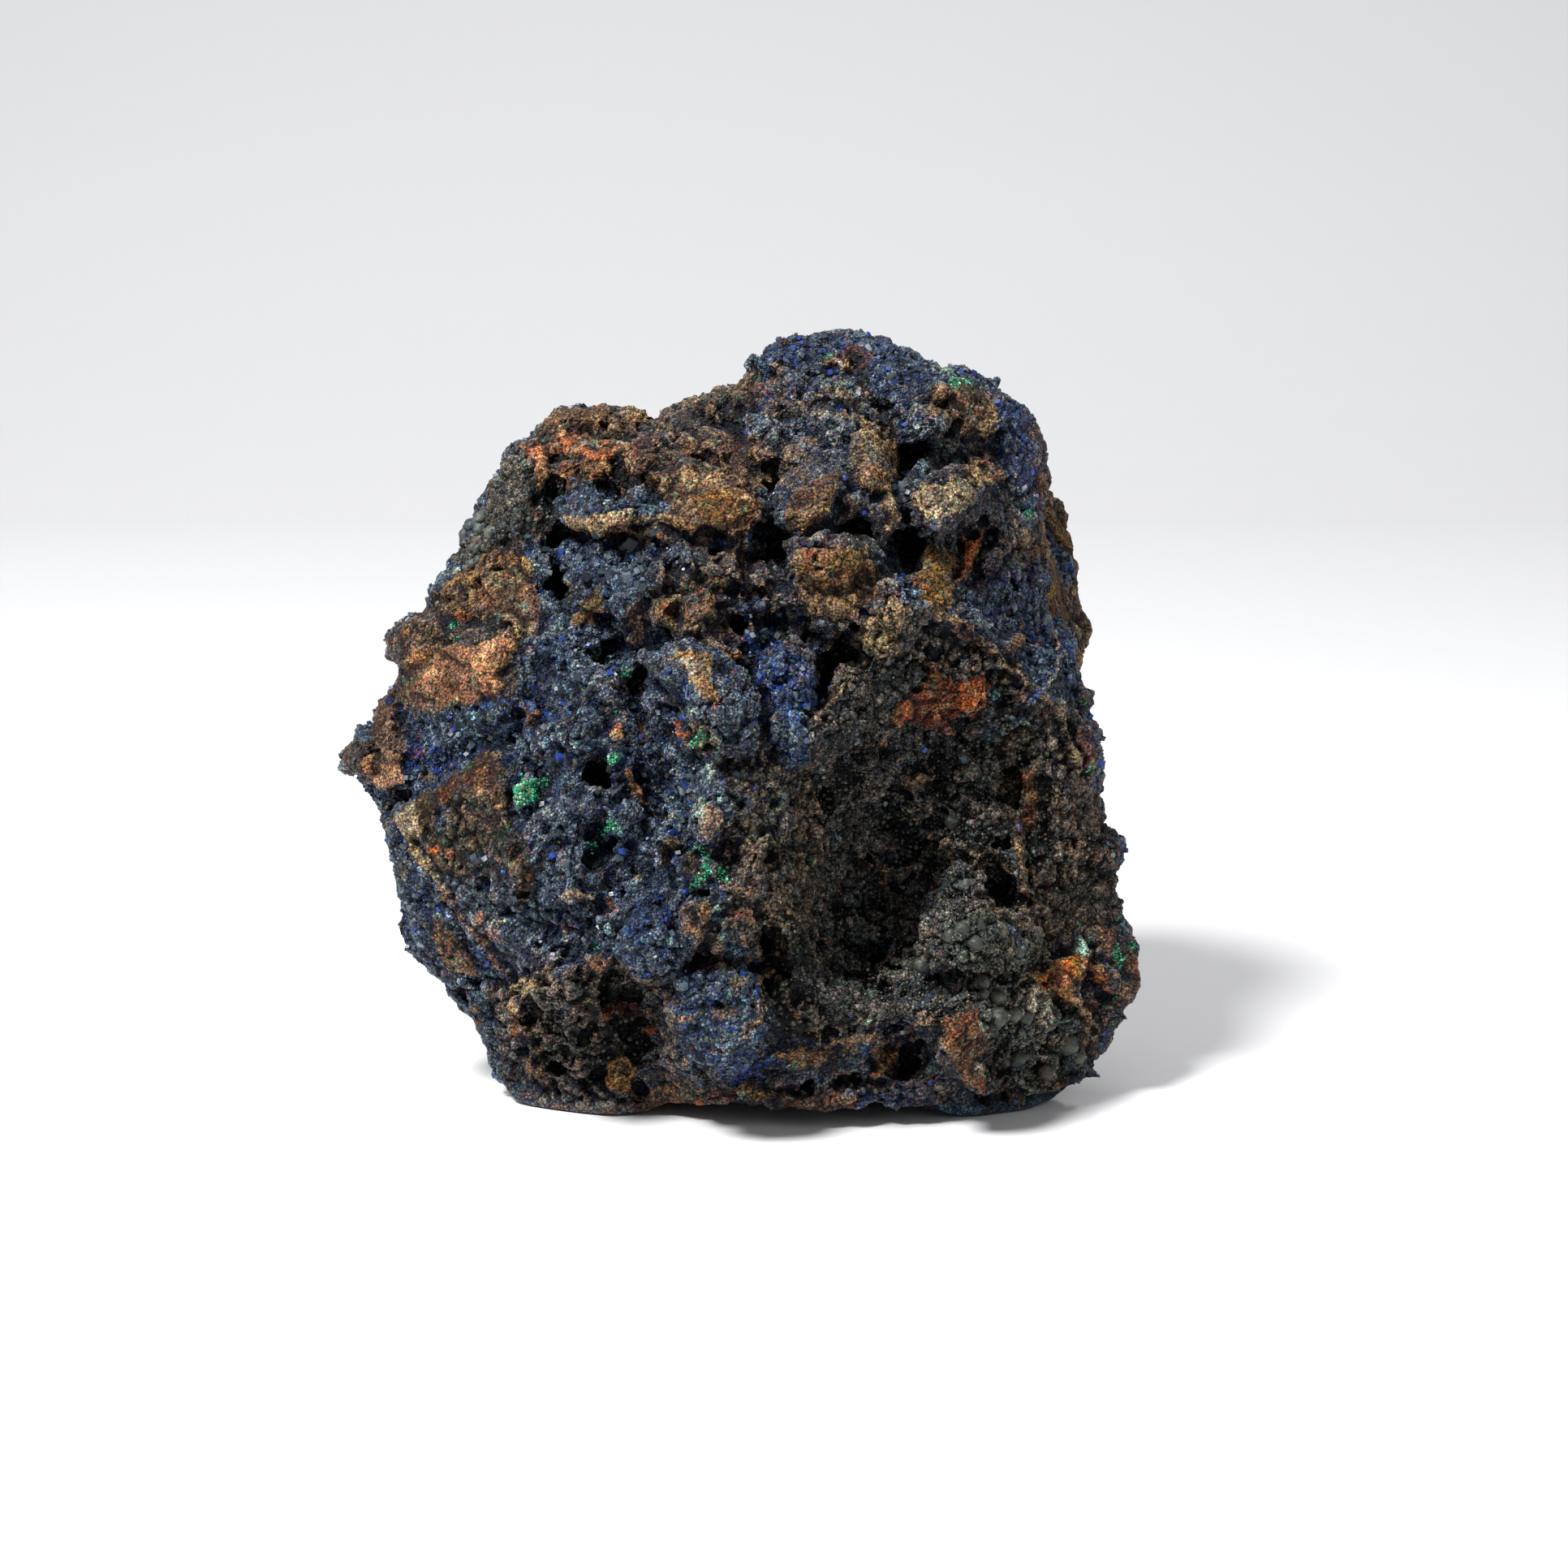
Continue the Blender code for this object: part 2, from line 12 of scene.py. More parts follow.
import bmesh
import bpy
import numpy as np
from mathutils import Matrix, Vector

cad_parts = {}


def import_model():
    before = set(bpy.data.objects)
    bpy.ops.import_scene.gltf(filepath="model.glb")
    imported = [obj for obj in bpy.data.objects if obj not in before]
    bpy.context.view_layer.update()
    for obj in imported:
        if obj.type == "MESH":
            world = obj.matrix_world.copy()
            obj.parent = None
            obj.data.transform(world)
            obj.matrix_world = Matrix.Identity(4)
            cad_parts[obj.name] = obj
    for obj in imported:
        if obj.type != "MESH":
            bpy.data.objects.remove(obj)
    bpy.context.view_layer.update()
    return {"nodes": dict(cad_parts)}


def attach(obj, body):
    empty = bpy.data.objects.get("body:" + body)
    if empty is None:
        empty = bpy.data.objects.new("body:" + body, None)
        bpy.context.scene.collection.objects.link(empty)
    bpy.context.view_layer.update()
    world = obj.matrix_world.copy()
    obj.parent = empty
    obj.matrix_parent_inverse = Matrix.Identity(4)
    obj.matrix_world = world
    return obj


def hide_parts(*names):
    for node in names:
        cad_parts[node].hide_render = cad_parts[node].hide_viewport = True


MM = 0.001
SEED = 7

# The view, in the part's own u (right), v (up from the foot) and w (nearer), which start at this place in
# the picture, and in the part at the middle of its outline.
PER_MM = 12.0
ZERO_X, ZERO_Y = 916.0, 1377.0
CENTRE_X, CENTRE_Y = -0.01, -0.63
FOOT_BELOW_MIDDLE = 36.3
MIDDLE_V = 40.0
VIEW_TILT = math.radians(10.0)
VIEW_DISTANCE = 380.0
AXIS_U, AXIS_V = 4.2, 34.3
LEAN_BACK = 0.10

# How near a point is where the front begins to show, and where it is all front (mm).
FRONT_FROM, FRONT_TO = -3.5, 0.5

# Colours of what the lump is made of, as (red, green, blue) out of 255, and how each is grained: share of
# blue crystal, share of vivid blue grains, height of its lumps and of its finest knobs (1 is usual).
COLOUR, BLUE, VIVID, LUMPY, KNOBBY = range(5)
KINDS = {
    "azurite": ((40, 52, 60), 1.0, 0.22, 0.9, 0.7),
    "slate": ((68, 80, 86), 0.8, 0.16, 0.9, 0.6),
    "ultramarine": ((20, 32, 58), 1.0, 0.75, 0.9, 0.8),
    "azure": ((40, 104, 178), 0.8, 0.6, 0.5, 0.6),
    "brown": ((107, 74, 45), 0.0, 0.0, 0.5, 0.45),
    "umber": ((49, 36, 27), 0.0, 0.0, 1.0, 0.8),
    "ochre": ((138, 99, 40), 0.0, 0.0, 0.2, 0.3),
    "tan": ((200, 170, 122), 0.0, 0.0, 0.3, 0.3),
    "rust": ((115, 46, 18), 0.0, 0.0, 0.5, 0.5),
    "orange": ((224, 112, 42), 0.0, 0.0, 0.1, 0.3),
    "chip": ((134, 76, 38), 0.0, 0.0, 0.3, 0.3),
    "pink": ((206, 142, 98), 0.0, 0.0, 0.05, 0.1),
    "maroon": ((44, 29, 24), 0.0, 0.0, 0.3, 0.4),
    # Black is the rock's black iron oxide; laid in the front's sunk pits and cracks it is painted shade as
    # well.
    "black": ((13, 13, 12), 0.0, 0.0, 0.9, 0.9),
    "soot": ((42, 44, 40), 0.4, 0.0, 1.4, 1.3),
    "bubbly": ((74, 80, 72), 0.3, 0.0, 1.1, 2.0),
    "olive": ((54, 54, 42), 0.2, 0.0, 1.3, 1.3),
    "grit": ((92, 82, 66), 0.2, 0.0, 1.2, 1.3),
    "green": ((26, 118, 84), 0.0, 0.0, 0.4, 0.9),
    "mint": ((158, 206, 182), 0.0, 0.0, 0.3, 0.6),
    "cream": ((222, 212, 184), 0.0, 0.0, 0.3, 0.5),
    "teal": ((72, 122, 134), 0.3, 0.1, 0.5, 0.7),
}
KIND_NAMES = list(KINDS)

# What covers the sides and the back: (kind, from, to), as shares of all patches of that size.
BROAD_PATCHES = [
    ("brown", 0.0, 0.24), ("umber", 0.24, 0.36), ("black", 0.36, 0.42), ("slate", 0.42, 0.62),
    ("ultramarine", 0.62, 0.70), ("ochre", 0.94, 1.0),
]
SMALL_PATCHES = [
    ("rust", 0.0, 0.04), ("ochre", 0.04, 0.08), ("tan", 0.08, 0.11), ("ultramarine", 0.11, 0.18),
    ("umber", 0.18, 0.26), ("green", 0.26, 0.272), ("chip", 0.272, 0.30), ("olive", 0.30, 0.34),
]

# The cells of the broad and the small patches, the size of the brown fields, and how far and over what size
# the edges between them wander (mm).
BROAD_CELL = 15.0
SMALL_CELL = 5.0
BROWN_FIELD = 30.0
WANDER, WANDER_SIZE = 3.0, 7.0

# How far an edge of the front's forms wanders (picture units) over these sizes (mm), and how much of that
# the forms take where the colours take all of it.
RAGGED = ((7.0, 4.5), (5.0, 1.7), (4.0, 0.6))
RAGGED_RELIEF = 0.8

# How soft the edge of a colour is, and how far outside a region or a spot it still counts (picture units).
SOFT_EDGE = 2.5
REGION_MARGIN = 8.0
SPOT_MARGIN = 4.0

# The front's own forms: the height of a lift of 1, and the depth of a sink of 1 (mm).
FORM_HEIGHT = 1.8
PIT_DEPTH = 1.0

# How far in from its outline a raised form has its full height and a sunk one its full depth, how far in a
# sunk one starts (picture units), and how much of itself a form has right where it starts.
PLATE_EDGE = 14.0
PIT_WALL = 0.6 * PLATE_EDGE
PIT_EDGE = 2.0
FIRST_STEP = 0.15

# The groove round a raised form: its depth as a share of the form's height, the lift that it starts at and
# the lift that it grows to, and how far outside the outline it runs and how wide it is (picture units).
GROOVE = 0.28
GROOVED_FROM, GROOVED_TO = 0.3, 1.2
GROOVE_OUTSIDE = 4.0
GROOVE_WIDTH = 3.0

# Forms all over the lump, as (size, height) in mm, and how much of the two largest gives way on the front.
SWELLS = (9.0, 0.7)
LUMPS = (4.8, 1.9)
SMALL_LUMPS = (2.2, 1.15)
KNOBS = (1.15, 0.46)
FINEST_KNOBS = (0.62, 0.14)
FRONT_CALM = 0.55

# Pits all over the lump. Each is the middle of a cell: the cells' size (mm), the share of them that are
# pits, the depth (mm), from where to where the wall rises (share of the size), and how far (mm) and over
# what size (mm) the cells are bent.
LARGE_PITS = {"size": 3.2, "share": 0.17, "depth": 2.0, "wall": (0.12, 0.38), "bend": 0.8, "bend_size": 2.0}
SMALL_PITS = {"size": 1.5, "share": 0.22, "depth": 0.8, "wall": (0.16, 0.42), "bend": 0.35, "bend_size": 0.9}

# How finely the surface is made: the voxel (mm) and the rounds of smoothing of the base, the voxel of each
# side, and how far each point is off at random (mm).
BASE_VOXEL, BASE_SMOOTHING = 0.42, 12
SIDE_VOXELS = {"front": 0.30, "back": 0.40}
JAG = 0.035

# What counts as sunk: below how many rounds' neighbours, and the weight of each.
SUNK_BELOW = ((3, 2.2), (12, 1.3), (60, 0.25))

# Cells that take one kind each, and cells that take a stray one: (size in mm, salt, strength).
MINGLED = ((1.1, 61, 0.35), (0.5, 62, 0.35))
STRAY = ((2.6, 67, 0.55), (1.2, 63, 0.6), (0.55, 64, 0.8))

# Painted highlight on raised edges: the pale colour it has on blue and on brown, and how strongly.
EDGE_HIGHLIGHT_BLUE = (120, 128, 134)
EDGE_HIGHLIGHT_BROWN = (150, 116, 82)
EDGE_HIGHLIGHT = 0.35

# Painted shade: how much darker a colour gets with each mm that it is sunk, and how much more where its kind
# is lumpy, so that creases and pits are painted dark and raised places a little light; and the least and most
# of its own lightness that it keeps.
SUNK_SHADE, SUNK_SHADE_LUMPY = 3.0, 2.2
BRIGHTNESS = 1.12
DARKEST, BRIGHTEST = 0.04, 2.4

# The grains that the material draws (mm), how deep they look, the colour of its vivid grains, and the pale
# colour of its painted glints.
GRAIN, FINE_GRAIN = 0.25, 0.13
GRAIN_DEPTH = 0.22
VIVID_GRAIN = (26, 68, 148)
GLINT_GRAIN = (140, 150, 140)

# The front's patches and lumps, each laid over the ones before: kind (or None for shape alone), strength,
# lift (below 0 it is sunk), and its outline as x, y, x, y...
# Black laid in a sunk form, here and in the lines and spots below, is painted shade in a pit or crack as well
# as black iron oxide.
REGIONS = [
    # broad fields
    ("umber", 0.75, 0, (566, 690, 600, 590, 640, 545, 665, 515, 700, 495, 790, 498, 860, 478, 930, 455,
     935, 580, 930, 655, 850, 665, 690, 660)),
    ("slate", 0.65, 0, (940, 470, 1080, 470, 1110, 560, 1100, 660, 1050, 600, 960, 580, 930, 530)),
    ("ultramarine", 0.3, 0, (940, 430, 1000, 402, 1100, 400, 1180, 450, 1120, 470, 960, 462)),
    ("brown", 0.7, 0, (530, 735, 560, 700, 590, 680, 650, 685, 665, 740, 640, 850, 560, 880, 490, 860, 478,
     790)),
    ("slate", 0.55, 0, (640, 740, 800, 680, 860, 700, 960, 780, 1010, 830, 980, 900, 900, 1000, 880, 1170,
     800, 1230, 640, 1220, 560, 1130, 640, 1000)),
    ("umber", 0.6, 0, (600, 1220, 660, 1190, 760, 1180, 830, 1210, 850, 1370, 720, 1378, 620, 1350)),
    ("soot", 0.75, 0.5, (648, 1205, 690, 1192, 735, 1200, 745, 1260, 740, 1310, 700, 1340, 655, 1310, 640,
     1250)),
    ("umber", 0.5, 0, (850, 1330, 940, 1300, 1060, 1280, 1180, 1250, 1230, 1350, 1060, 1370, 880, 1368)),
    ("brown", 0.4, 0.5, (806, 676, 850, 664, 900, 668, 950, 700, 962, 740, 940, 790, 890, 786, 830, 780,
     800, 740)),
    ("umber", 0.45, 0, (800, 690, 940, 670, 1080, 620, 1120, 740, 1040, 830, 1000, 860, 960, 800, 860, 790,
     800, 760)),
    ("umber", 0.45, 0, (1120, 480, 1230, 470, 1250, 600, 1270, 700, 1300, 760, 1180, 750, 1110, 700)),
    ("umber", 0.6, 0, (1140, 740, 1240, 790, 1300, 860, 1350, 960, 1400, 1120, 1400, 1240, 1340, 1330,
     1290, 1100, 1270, 900, 1200, 800)),
    ("maroon", 0.5, 0, (505, 985, 620, 925, 660, 1085, 640, 1110, 540, 1080)),
    # the hollow and its walls
    ("soot", 0.95, 0, (1100, 742, 1150, 760, 1240, 830, 1290, 930, 1320, 1060, 1300, 1200, 1320, 1340,
     1210, 1345, 1150, 1250, 1040, 1278, 985, 1290, 950, 1240, 930, 1150, 980, 1000, 1000, 900, 1050, 820)),
    ("grit", 0.7, 0, (900, 885, 935, 880, 960, 965, 1000, 940, 1020, 1020, 1000, 1140, 965, 1180, 900,
     1160, 880, 1040, 905, 1000, 890, 960)),
    ("olive", 0.6, 0, (1200, 900, 1280, 880, 1300, 960, 1290, 1060, 1290, 1200, 1180, 1200, 1150, 1140,
     1250, 1100, 1240, 980, 1190, 960)),
    ("bubbly", 0.7, 0.7, (1230, 1195, 1290, 1190, 1340, 1250, 1345, 1320, 1290, 1345, 1235, 1335)),
    ("grit", 0.6, 0, (1285, 880, 1330, 880, 1345, 1000, 1370, 1120, 1350, 1180, 1290, 1190, 1300, 1060)),
    ("olive", 0.6, 0, (1340, 960, 1360, 1000, 1392, 1120, 1380, 1150, 1345, 1140, 1330, 1040)),
    # the upper left: dark knobs, a crest, ledges
    ("brown", 0.7, 0.6, (664, 538, 672, 516, 690, 502, 706, 498, 728, 499, 750, 506, 760, 512, 776, 498,
     790, 505, 797, 508, 790, 520, 770, 534, 745, 530, 715, 528, 690, 540, 672, 545)),
    ("soot", 0.8, 0, (560, 690, 600, 600, 645, 545, 680, 540, 690, 600, 690, 650, 640, 665, 600, 680)),
    ("umber", 0.5, 0, (690, 540, 800, 545, 840, 580, 780, 590, 700, 600)),
    ("maroon", 0.6, 0, (715, 525, 765, 522, 765, 540, 715, 542)),
    ("orange", 0.5, 0.3, (645, 548, 680, 548, 700, 536, 720, 532, 745, 540, 762, 545, 765, 560, 755, 565,
     735, 560, 715, 562, 690, 565, 668, 572, 660, 585, 650, 560)),
    ("rust", 0.45, 0, (768, 545, 800, 545, 802, 558, 770, 560)),
    ("brown", 0.8, 1.0, (722, 570, 735, 562, 752, 565, 762, 578, 758, 595, 740, 602, 725, 595)),
    ("brown", 0.5, 0.9, (770, 566, 790, 560, 812, 566, 815, 585, 798, 594, 775, 592)),
    ("brown", 0.75, 0.9, (655, 575, 668, 562, 680, 570, 682, 590, 676, 605, 662, 605, 656, 590)),
    ("brown", 0.4, 0.7, (690, 575, 712, 572, 716, 592, 700, 600, 688, 592)),
    ("soot", 0.6, 0.3, (600, 600, 612, 560, 640, 545, 655, 560, 655, 600, 660, 640, 640, 660, 610, 665,
     590, 640)),
    ("black", 0.59, -1.7, (735, 600, 762, 598, 765, 610, 750, 620, 738, 612)),
    ("azurite", 0.9, 0.6, (690, 618, 700, 600, 715, 592, 735, 598, 745, 612, 770, 618, 800, 600, 830, 605,
     828, 620, 820, 638, 780, 640, 740, 650, 715, 655, 700, 650, 692, 640)),
    ("tan", 0.75, 0.3, (692, 632, 720, 628, 760, 626, 800, 628, 828, 628, 815, 640, 780, 642, 750, 648,
     735, 655, 712, 656, 700, 648)),
    ("brown", 0.95, 1.0, (800, 588, 830, 582, 850, 575, 870, 577, 895, 590, 915, 597, 930, 600, 940, 615,
     945, 640, 930, 648, 900, 655, 860, 652, 835, 650, 815, 640, 828, 620, 800, 606)),
    ("tan", 0.35, 0, (800, 592, 850, 580, 900, 592, 936, 606, 930, 618, 880, 600, 820, 604)),
    ("ochre", 0.55, 0, (860, 602, 912, 600, 915, 640, 862, 640)),
    ("ochre", 0.5, 0, (740, 652, 790, 645, 812, 650, 808, 668, 790, 672, 765, 660)),
    ("azurite", 0.9, 1.1, (690, 664, 800, 668, 815, 720, 780, 750, 700, 745, 680, 700)),
    ("black", 0.72, -2, (682, 700, 696, 690, 700, 712, 712, 722, 718, 735, 700, 742, 690, 728, 680, 715)),
    ("slate", 0.8, 0.8, (652, 685, 668, 676, 682, 680, 684, 700, 678, 714, 662, 716, 652, 704)),
    ("ochre", 0.85, 0.5, (735, 722, 740, 745, 738, 762, 715, 768, 700, 770, 706, 758, 720, 738)),
    ("rust", 0.25, 0, (550, 735, 620, 700, 650, 715, 655, 760, 600, 756)),
    ("brown", 0.75, 0.2, (560, 700, 590, 685, 610, 668, 640, 672, 655, 690, 652, 720, 665, 740, 660, 790,
     640, 785, 625, 770, 600, 760, 575, 760, 540, 755, 530, 730)),
    ("slate", 0.8, 0.9, (812, 672, 830, 660, 850, 658, 862, 668, 858, 690, 840, 700, 820, 695)),
    ("brown", 0.55, 0, (830, 545, 900, 520, 950, 540, 1000, 545, 1010, 590, 960, 600, 900, 590, 850, 575)),
    ("rust", 0.4, 0.2, (690, 600, 700, 560, 720, 556, 722, 590, 706, 600)),
    # the dome
    ("olive", 0.7, 0, (822, 492, 870, 478, 900, 462, 925, 458, 920, 470, 900, 485, 880, 492, 850, 500)),
    ("rust", 0.6, -0.6, (1045, 420, 1065, 425, 1070, 445, 1060, 456, 1052, 450, 1040, 436)),
    ("black", 0.68, -1.5, (1070, 490, 1100, 492, 1102, 510, 1080, 512)),
    ("azurite", 0.5, 0.7, (955, 470, 990, 462, 1000, 480, 985, 500, 960, 498)),
    ("slate", 0.7, 0.9, (1000, 490, 1040, 486, 1065, 500, 1062, 530, 1030, 545, 1000, 535, 990, 510)),
    ("tan", 0.5, 0.4, (1000, 486, 1040, 482, 1066, 496, 1064, 504, 1036, 492, 1002, 496)),
    ("brown", 0.5, 0.4, (1072, 516, 1100, 520, 1112, 548, 1100, 556, 1078, 536)),
    ("rust", 0.35, 0, (930, 472, 975, 468, 990, 500, 950, 510)),
    ("slate", 0.5, 0.7, (925, 500, 965, 505, 975, 530, 955, 548, 925, 540, 915, 520)),
    ("slate", 0.6, 0.6, (985, 550, 1040, 548, 1060, 570, 1045, 585, 1000, 588, 980, 572)),
    ("ochre", 0.55, 0.6, (1050, 535, 1085, 530, 1102, 560, 1098, 600, 1108, 640, 1095, 652, 1085, 620,
     1070, 600, 1050, 590)),
    ("brown", 0.9, 1.2, (968, 605, 985, 597, 1010, 590, 1035, 582, 1047, 590, 1040, 610, 1030, 625, 1025,
     645, 1005, 655, 980, 660, 968, 640)),
    ("brown", 0.7, 0.8, (1050, 612, 1064, 610, 1070, 624, 1066, 638, 1050, 636)),
    ("black", 0.77, -1.8, (1037, 655, 1050, 646, 1068, 650, 1072, 668, 1050, 668, 1040, 662)),
    ("brown", 0.95, 1.2, (985, 672, 1020, 668, 1050, 672, 1072, 675, 1080, 690, 1087, 715, 1085, 730, 1060,
     755, 1030, 770, 1000, 760, 985, 740, 975, 710)),
    ("ochre", 0.5, 0, (1010, 675, 1060, 678, 1070, 700, 1030, 706, 1005, 695)),
    ("black", 0.59, -1.2, (945, 605, 960, 615, 960, 640, 975, 655, 978, 680, 965, 700, 955, 690, 952, 660,
     940, 630)),
    ("umber", 0.7, 0.9, (890, 655, 915, 650, 925, 668, 912, 684, 892, 682)),
    ("umber", 0.7, 0.7, (920, 668, 942, 664, 948, 680, 932, 690)),
    # the upper right
    ("brown", 0.85, 1.4, (1143, 480, 1158, 468, 1185, 470, 1205, 478, 1222, 488, 1230, 505, 1226, 525,
     1208, 537, 1185, 540, 1170, 528, 1165, 510, 1150, 505, 1140, 492)),
    ("umber", 0.6, 0, (1143, 490, 1205, 482, 1216, 520, 1190, 536, 1160, 520)),
    ("azurite", 0.85, 1.0, (1120, 515, 1140, 510, 1165, 512, 1172, 525, 1160, 538, 1140, 542, 1122, 535)),
    ("black", 0.68, -1.7, (1100, 560, 1120, 555, 1140, 545, 1165, 540, 1160, 552, 1135, 565, 1110, 578,
     1105, 600, 1112, 620, 1106, 635, 1098, 610)),
    ("tan", 0.85, 1.2, (1122, 606, 1135, 594, 1160, 588, 1195, 590, 1210, 604, 1200, 624, 1170, 636, 1145,
     638, 1126, 626)),
    ("cream", 0.35, 0.3, (1135, 612, 1145, 598, 1165, 592, 1195, 592, 1200, 610, 1195, 625, 1170, 635,
     1150, 640, 1135, 632)),
    ("umber", 0.8, 0.5, (1190, 560, 1232, 556, 1242, 590, 1215, 604, 1194, 590)),
    ("black", 0.81, -2, (1105, 640, 1125, 642, 1137, 650, 1135, 680, 1120, 684, 1108, 672)),
    ("black", 0.77, -1.7, (1215, 658, 1235, 650, 1240, 668, 1228, 672, 1212, 685, 1205, 700, 1208, 680)),
    ("ochre", 0.95, 0.2, (1132, 672, 1180, 675, 1180, 700, 1185, 720, 1160, 745, 1145, 740, 1130, 715)),
    ("orange", 0.97, 0.5, (1192, 668, 1212, 658, 1210, 675, 1200, 690, 1193, 710, 1186, 716, 1184, 690)),
    ("ultramarine", 0.9, 0.3, (1222, 482, 1240, 485, 1262, 500, 1275, 520, 1290, 550, 1295, 600, 1290, 640,
     1262, 640, 1262, 600, 1245, 580, 1235, 540, 1238, 510)),
    ("rust", 0.5, 0, (1262, 505, 1276, 520, 1290, 552, 1280, 556, 1268, 530)),
    ("ochre", 0.6, 0, (1288, 578, 1298, 600, 1292, 620, 1282, 600)),
    ("umber", 0.8, 0, (1262, 650, 1300, 650, 1302, 720, 1262, 722)),
    ("ultramarine", 0.6, 0, (1240, 700, 1290, 690, 1306, 760, 1290, 790, 1250, 770)),
    ("azurite", 0.6, 0, (1190, 720, 1290, 712, 1300, 760, 1230, 775, 1196, 752)),
    # the left: a pink slab, brown and maroon slabs
    ("black", 0.59, -1.1, (522, 745, 530, 725, 545, 728, 552, 740, 545, 752, 528, 755)),
    ("umber", 0.7, 0.6, (478, 785, 490, 768, 500, 762, 520, 760, 545, 765, 560, 785, 545, 800, 530, 815,
     500, 822, 485, 805)),
    ("pink", 0.9, 0.2, (500, 812, 548, 798, 575, 815, 590, 860, 560, 868, 515, 850)),
    ("pink", 0.95, 0.8, (548, 800, 570, 795, 600, 790, 622, 788, 632, 775, 640, 785, 640, 800, 630, 820,
     622, 830, 625, 850, 600, 860, 585, 845, 580, 825, 560, 812)),
    ("brown", 0.6, 0.2, (490, 840, 530, 842, 560, 856, 590, 862, 570, 876, 530, 880, 500, 872, 488, 856)),
    ("rust", 0.35, 0, (496, 822, 540, 836, 580, 848, 560, 872, 510, 866)),
    ("rust", 0.5, 0, (592, 842, 612, 848, 610, 862, 594, 860)),
    ("brown", 0.85, 0.4, (492, 852, 475, 865, 462, 885, 458, 905, 452, 918, 470, 925, 495, 935, 505, 920,
     495, 900, 490, 880)),
    ("umber", 0.8, 0.9, (415, 912, 464, 905, 470, 948, 418, 958)),
    ("pink", 0.8, 0.4, (448, 925, 470, 920, 498, 930, 500, 955, 480, 968, 455, 962)),
    ("ultramarine", 0.7, 0, (500, 915, 545, 912, 548, 948, 505, 950)),
    ("azurite", 0.95, -0.2, (545, 872, 610, 866, 622, 900, 600, 918, 548, 915)),
    ("brown", 0.8, 0.4, (640, 875, 655, 868, 665, 880, 655, 895, 642, 893)),
    ("umber", 0.6, 0, (580, 755, 625, 760, 640, 785, 600, 790, 575, 775)),
    # the middle
    ("brown", 0.6, 0.5, (770, 745, 795, 742, 800, 770, 790, 792, 772, 788)),
    ("ochre", 0.5, 1.0, (802, 738, 832, 734, 845, 752, 838, 770, 812, 772, 800, 758)),
    ("brown", 0.7, 1.0, (842, 712, 862, 710, 866, 726, 850, 734, 840, 726)),
    ("brown", 0.7, 1.0, (868, 725, 885, 728, 884, 752, 862, 774, 846, 766, 848, 748, 858, 742)),
    ("brown", 0.6, 0.9, (876, 706, 902, 704, 908, 720, 888, 728, 874, 722)),
    ("azurite", 0.9, 1.0, (905, 728, 930, 720, 946, 732, 948, 752, 930, 764, 908, 756)),
    ("brown", 0.8, 0.2, (908, 724, 930, 718, 945, 728, 940, 738, 912, 740)),
    ("black", 0.81, -1.7, (722, 800, 735, 795, 755, 800, 757, 806, 745, 812, 732, 810)),
    ("black", 0.72, -1.4, (798, 805, 812, 803, 810, 820, 800, 840, 795, 860, 782, 850, 785, 825)),
    ("slate", 0.9, 1.7, (818, 812, 825, 800, 845, 790, 865, 790, 885, 800, 905, 815, 925, 835, 940, 855,
     942, 875, 935, 900, 940, 930, 885, 935, 880, 900, 860, 870, 850, 860, 830, 850, 820, 830)),
    ("cream", 0.45, 0, (826, 806, 850, 802, 872, 808, 878, 820, 862, 835, 840, 826)),
    ("ochre", 0.75, 0, (822, 805, 845, 800, 870, 805, 880, 815, 872, 840, 882, 860, 878, 872, 862, 868,
     852, 845, 846, 825, 835, 812)),
    ("cream", 0.5, 0, (842, 812, 866, 812, 868, 824, 848, 828)),
    ("umber", 0.75, 0.7, (842, 895, 870, 890, 884, 905, 878, 928, 855, 932, 842, 915)),
    ("chip", 0.9, 0.2, (757, 892, 772, 890, 776, 908, 766, 916, 755, 908)),
    ("chip", 0.9, 0.4, (772, 952, 780, 948, 790, 960, 800, 972, 792, 982, 780, 975)),
    ("chip", 0.8, 0, (795, 882, 804, 884, 804, 906, 796, 908)),
    ("black", 0.82, -2, (720, 950, 735, 942, 750, 950, 752, 960, 738, 963, 722, 960)),
    ("ultramarine", 1.0, 0.3, (922, 770, 950, 776, 965, 795, 990, 800, 1015, 830, 1012, 860, 1000, 880,
     985, 895, 965, 880, 960, 860, 945, 845, 935, 825)),
    ("slate", 0.4, 0.8, (700, 985, 730, 975, 745, 990, 728, 1004, 702, 1002)),
    ("slate", 0.4, 0.8, (690, 880, 730, 872, 748, 892, 730, 925, 695, 928, 682, 905)),
    ("slate", 0.4, 0.7, (700, 825, 745, 818, 775, 835, 760, 868, 715, 865)),
    ("slate", 0.4, 0.7, (745, 985, 780, 985, 792, 1015, 770, 1035, 748, 1020)),
    # the left's lower slab and its edge
    ("black", 0.77, -1.8, (478, 970, 490, 965, 500, 980, 488, 992, 480, 1000, 476, 985)),
    ("tan", 0.9, 0.5, (481, 1005, 492, 992, 505, 985, 512, 1000, 530, 1010, 525, 1025, 512, 1030, 518,
     1050, 522, 1062, 512, 1055, 502, 1035, 495, 1025, 485, 1020)),
    ("cream", 0.35, 0, (484, 1004, 494, 994, 506, 990, 514, 1006, 524, 1014, 512, 1030, 494, 1022)),
    ("maroon", 0.95, 0.3, (508, 1000, 510, 985, 540, 965, 575, 948, 600, 925, 615, 925, 622, 950, 628, 985,
     630, 1020, 640, 1050, 660, 1085, 655, 1110, 640, 1105, 625, 1080, 600, 1075, 570, 1070, 545, 1075,
     530, 1060, 515, 1040, 520, 1020)),
    ("rust", 0.3, 0, (560, 952, 600, 946, 612, 970, 575, 978)),
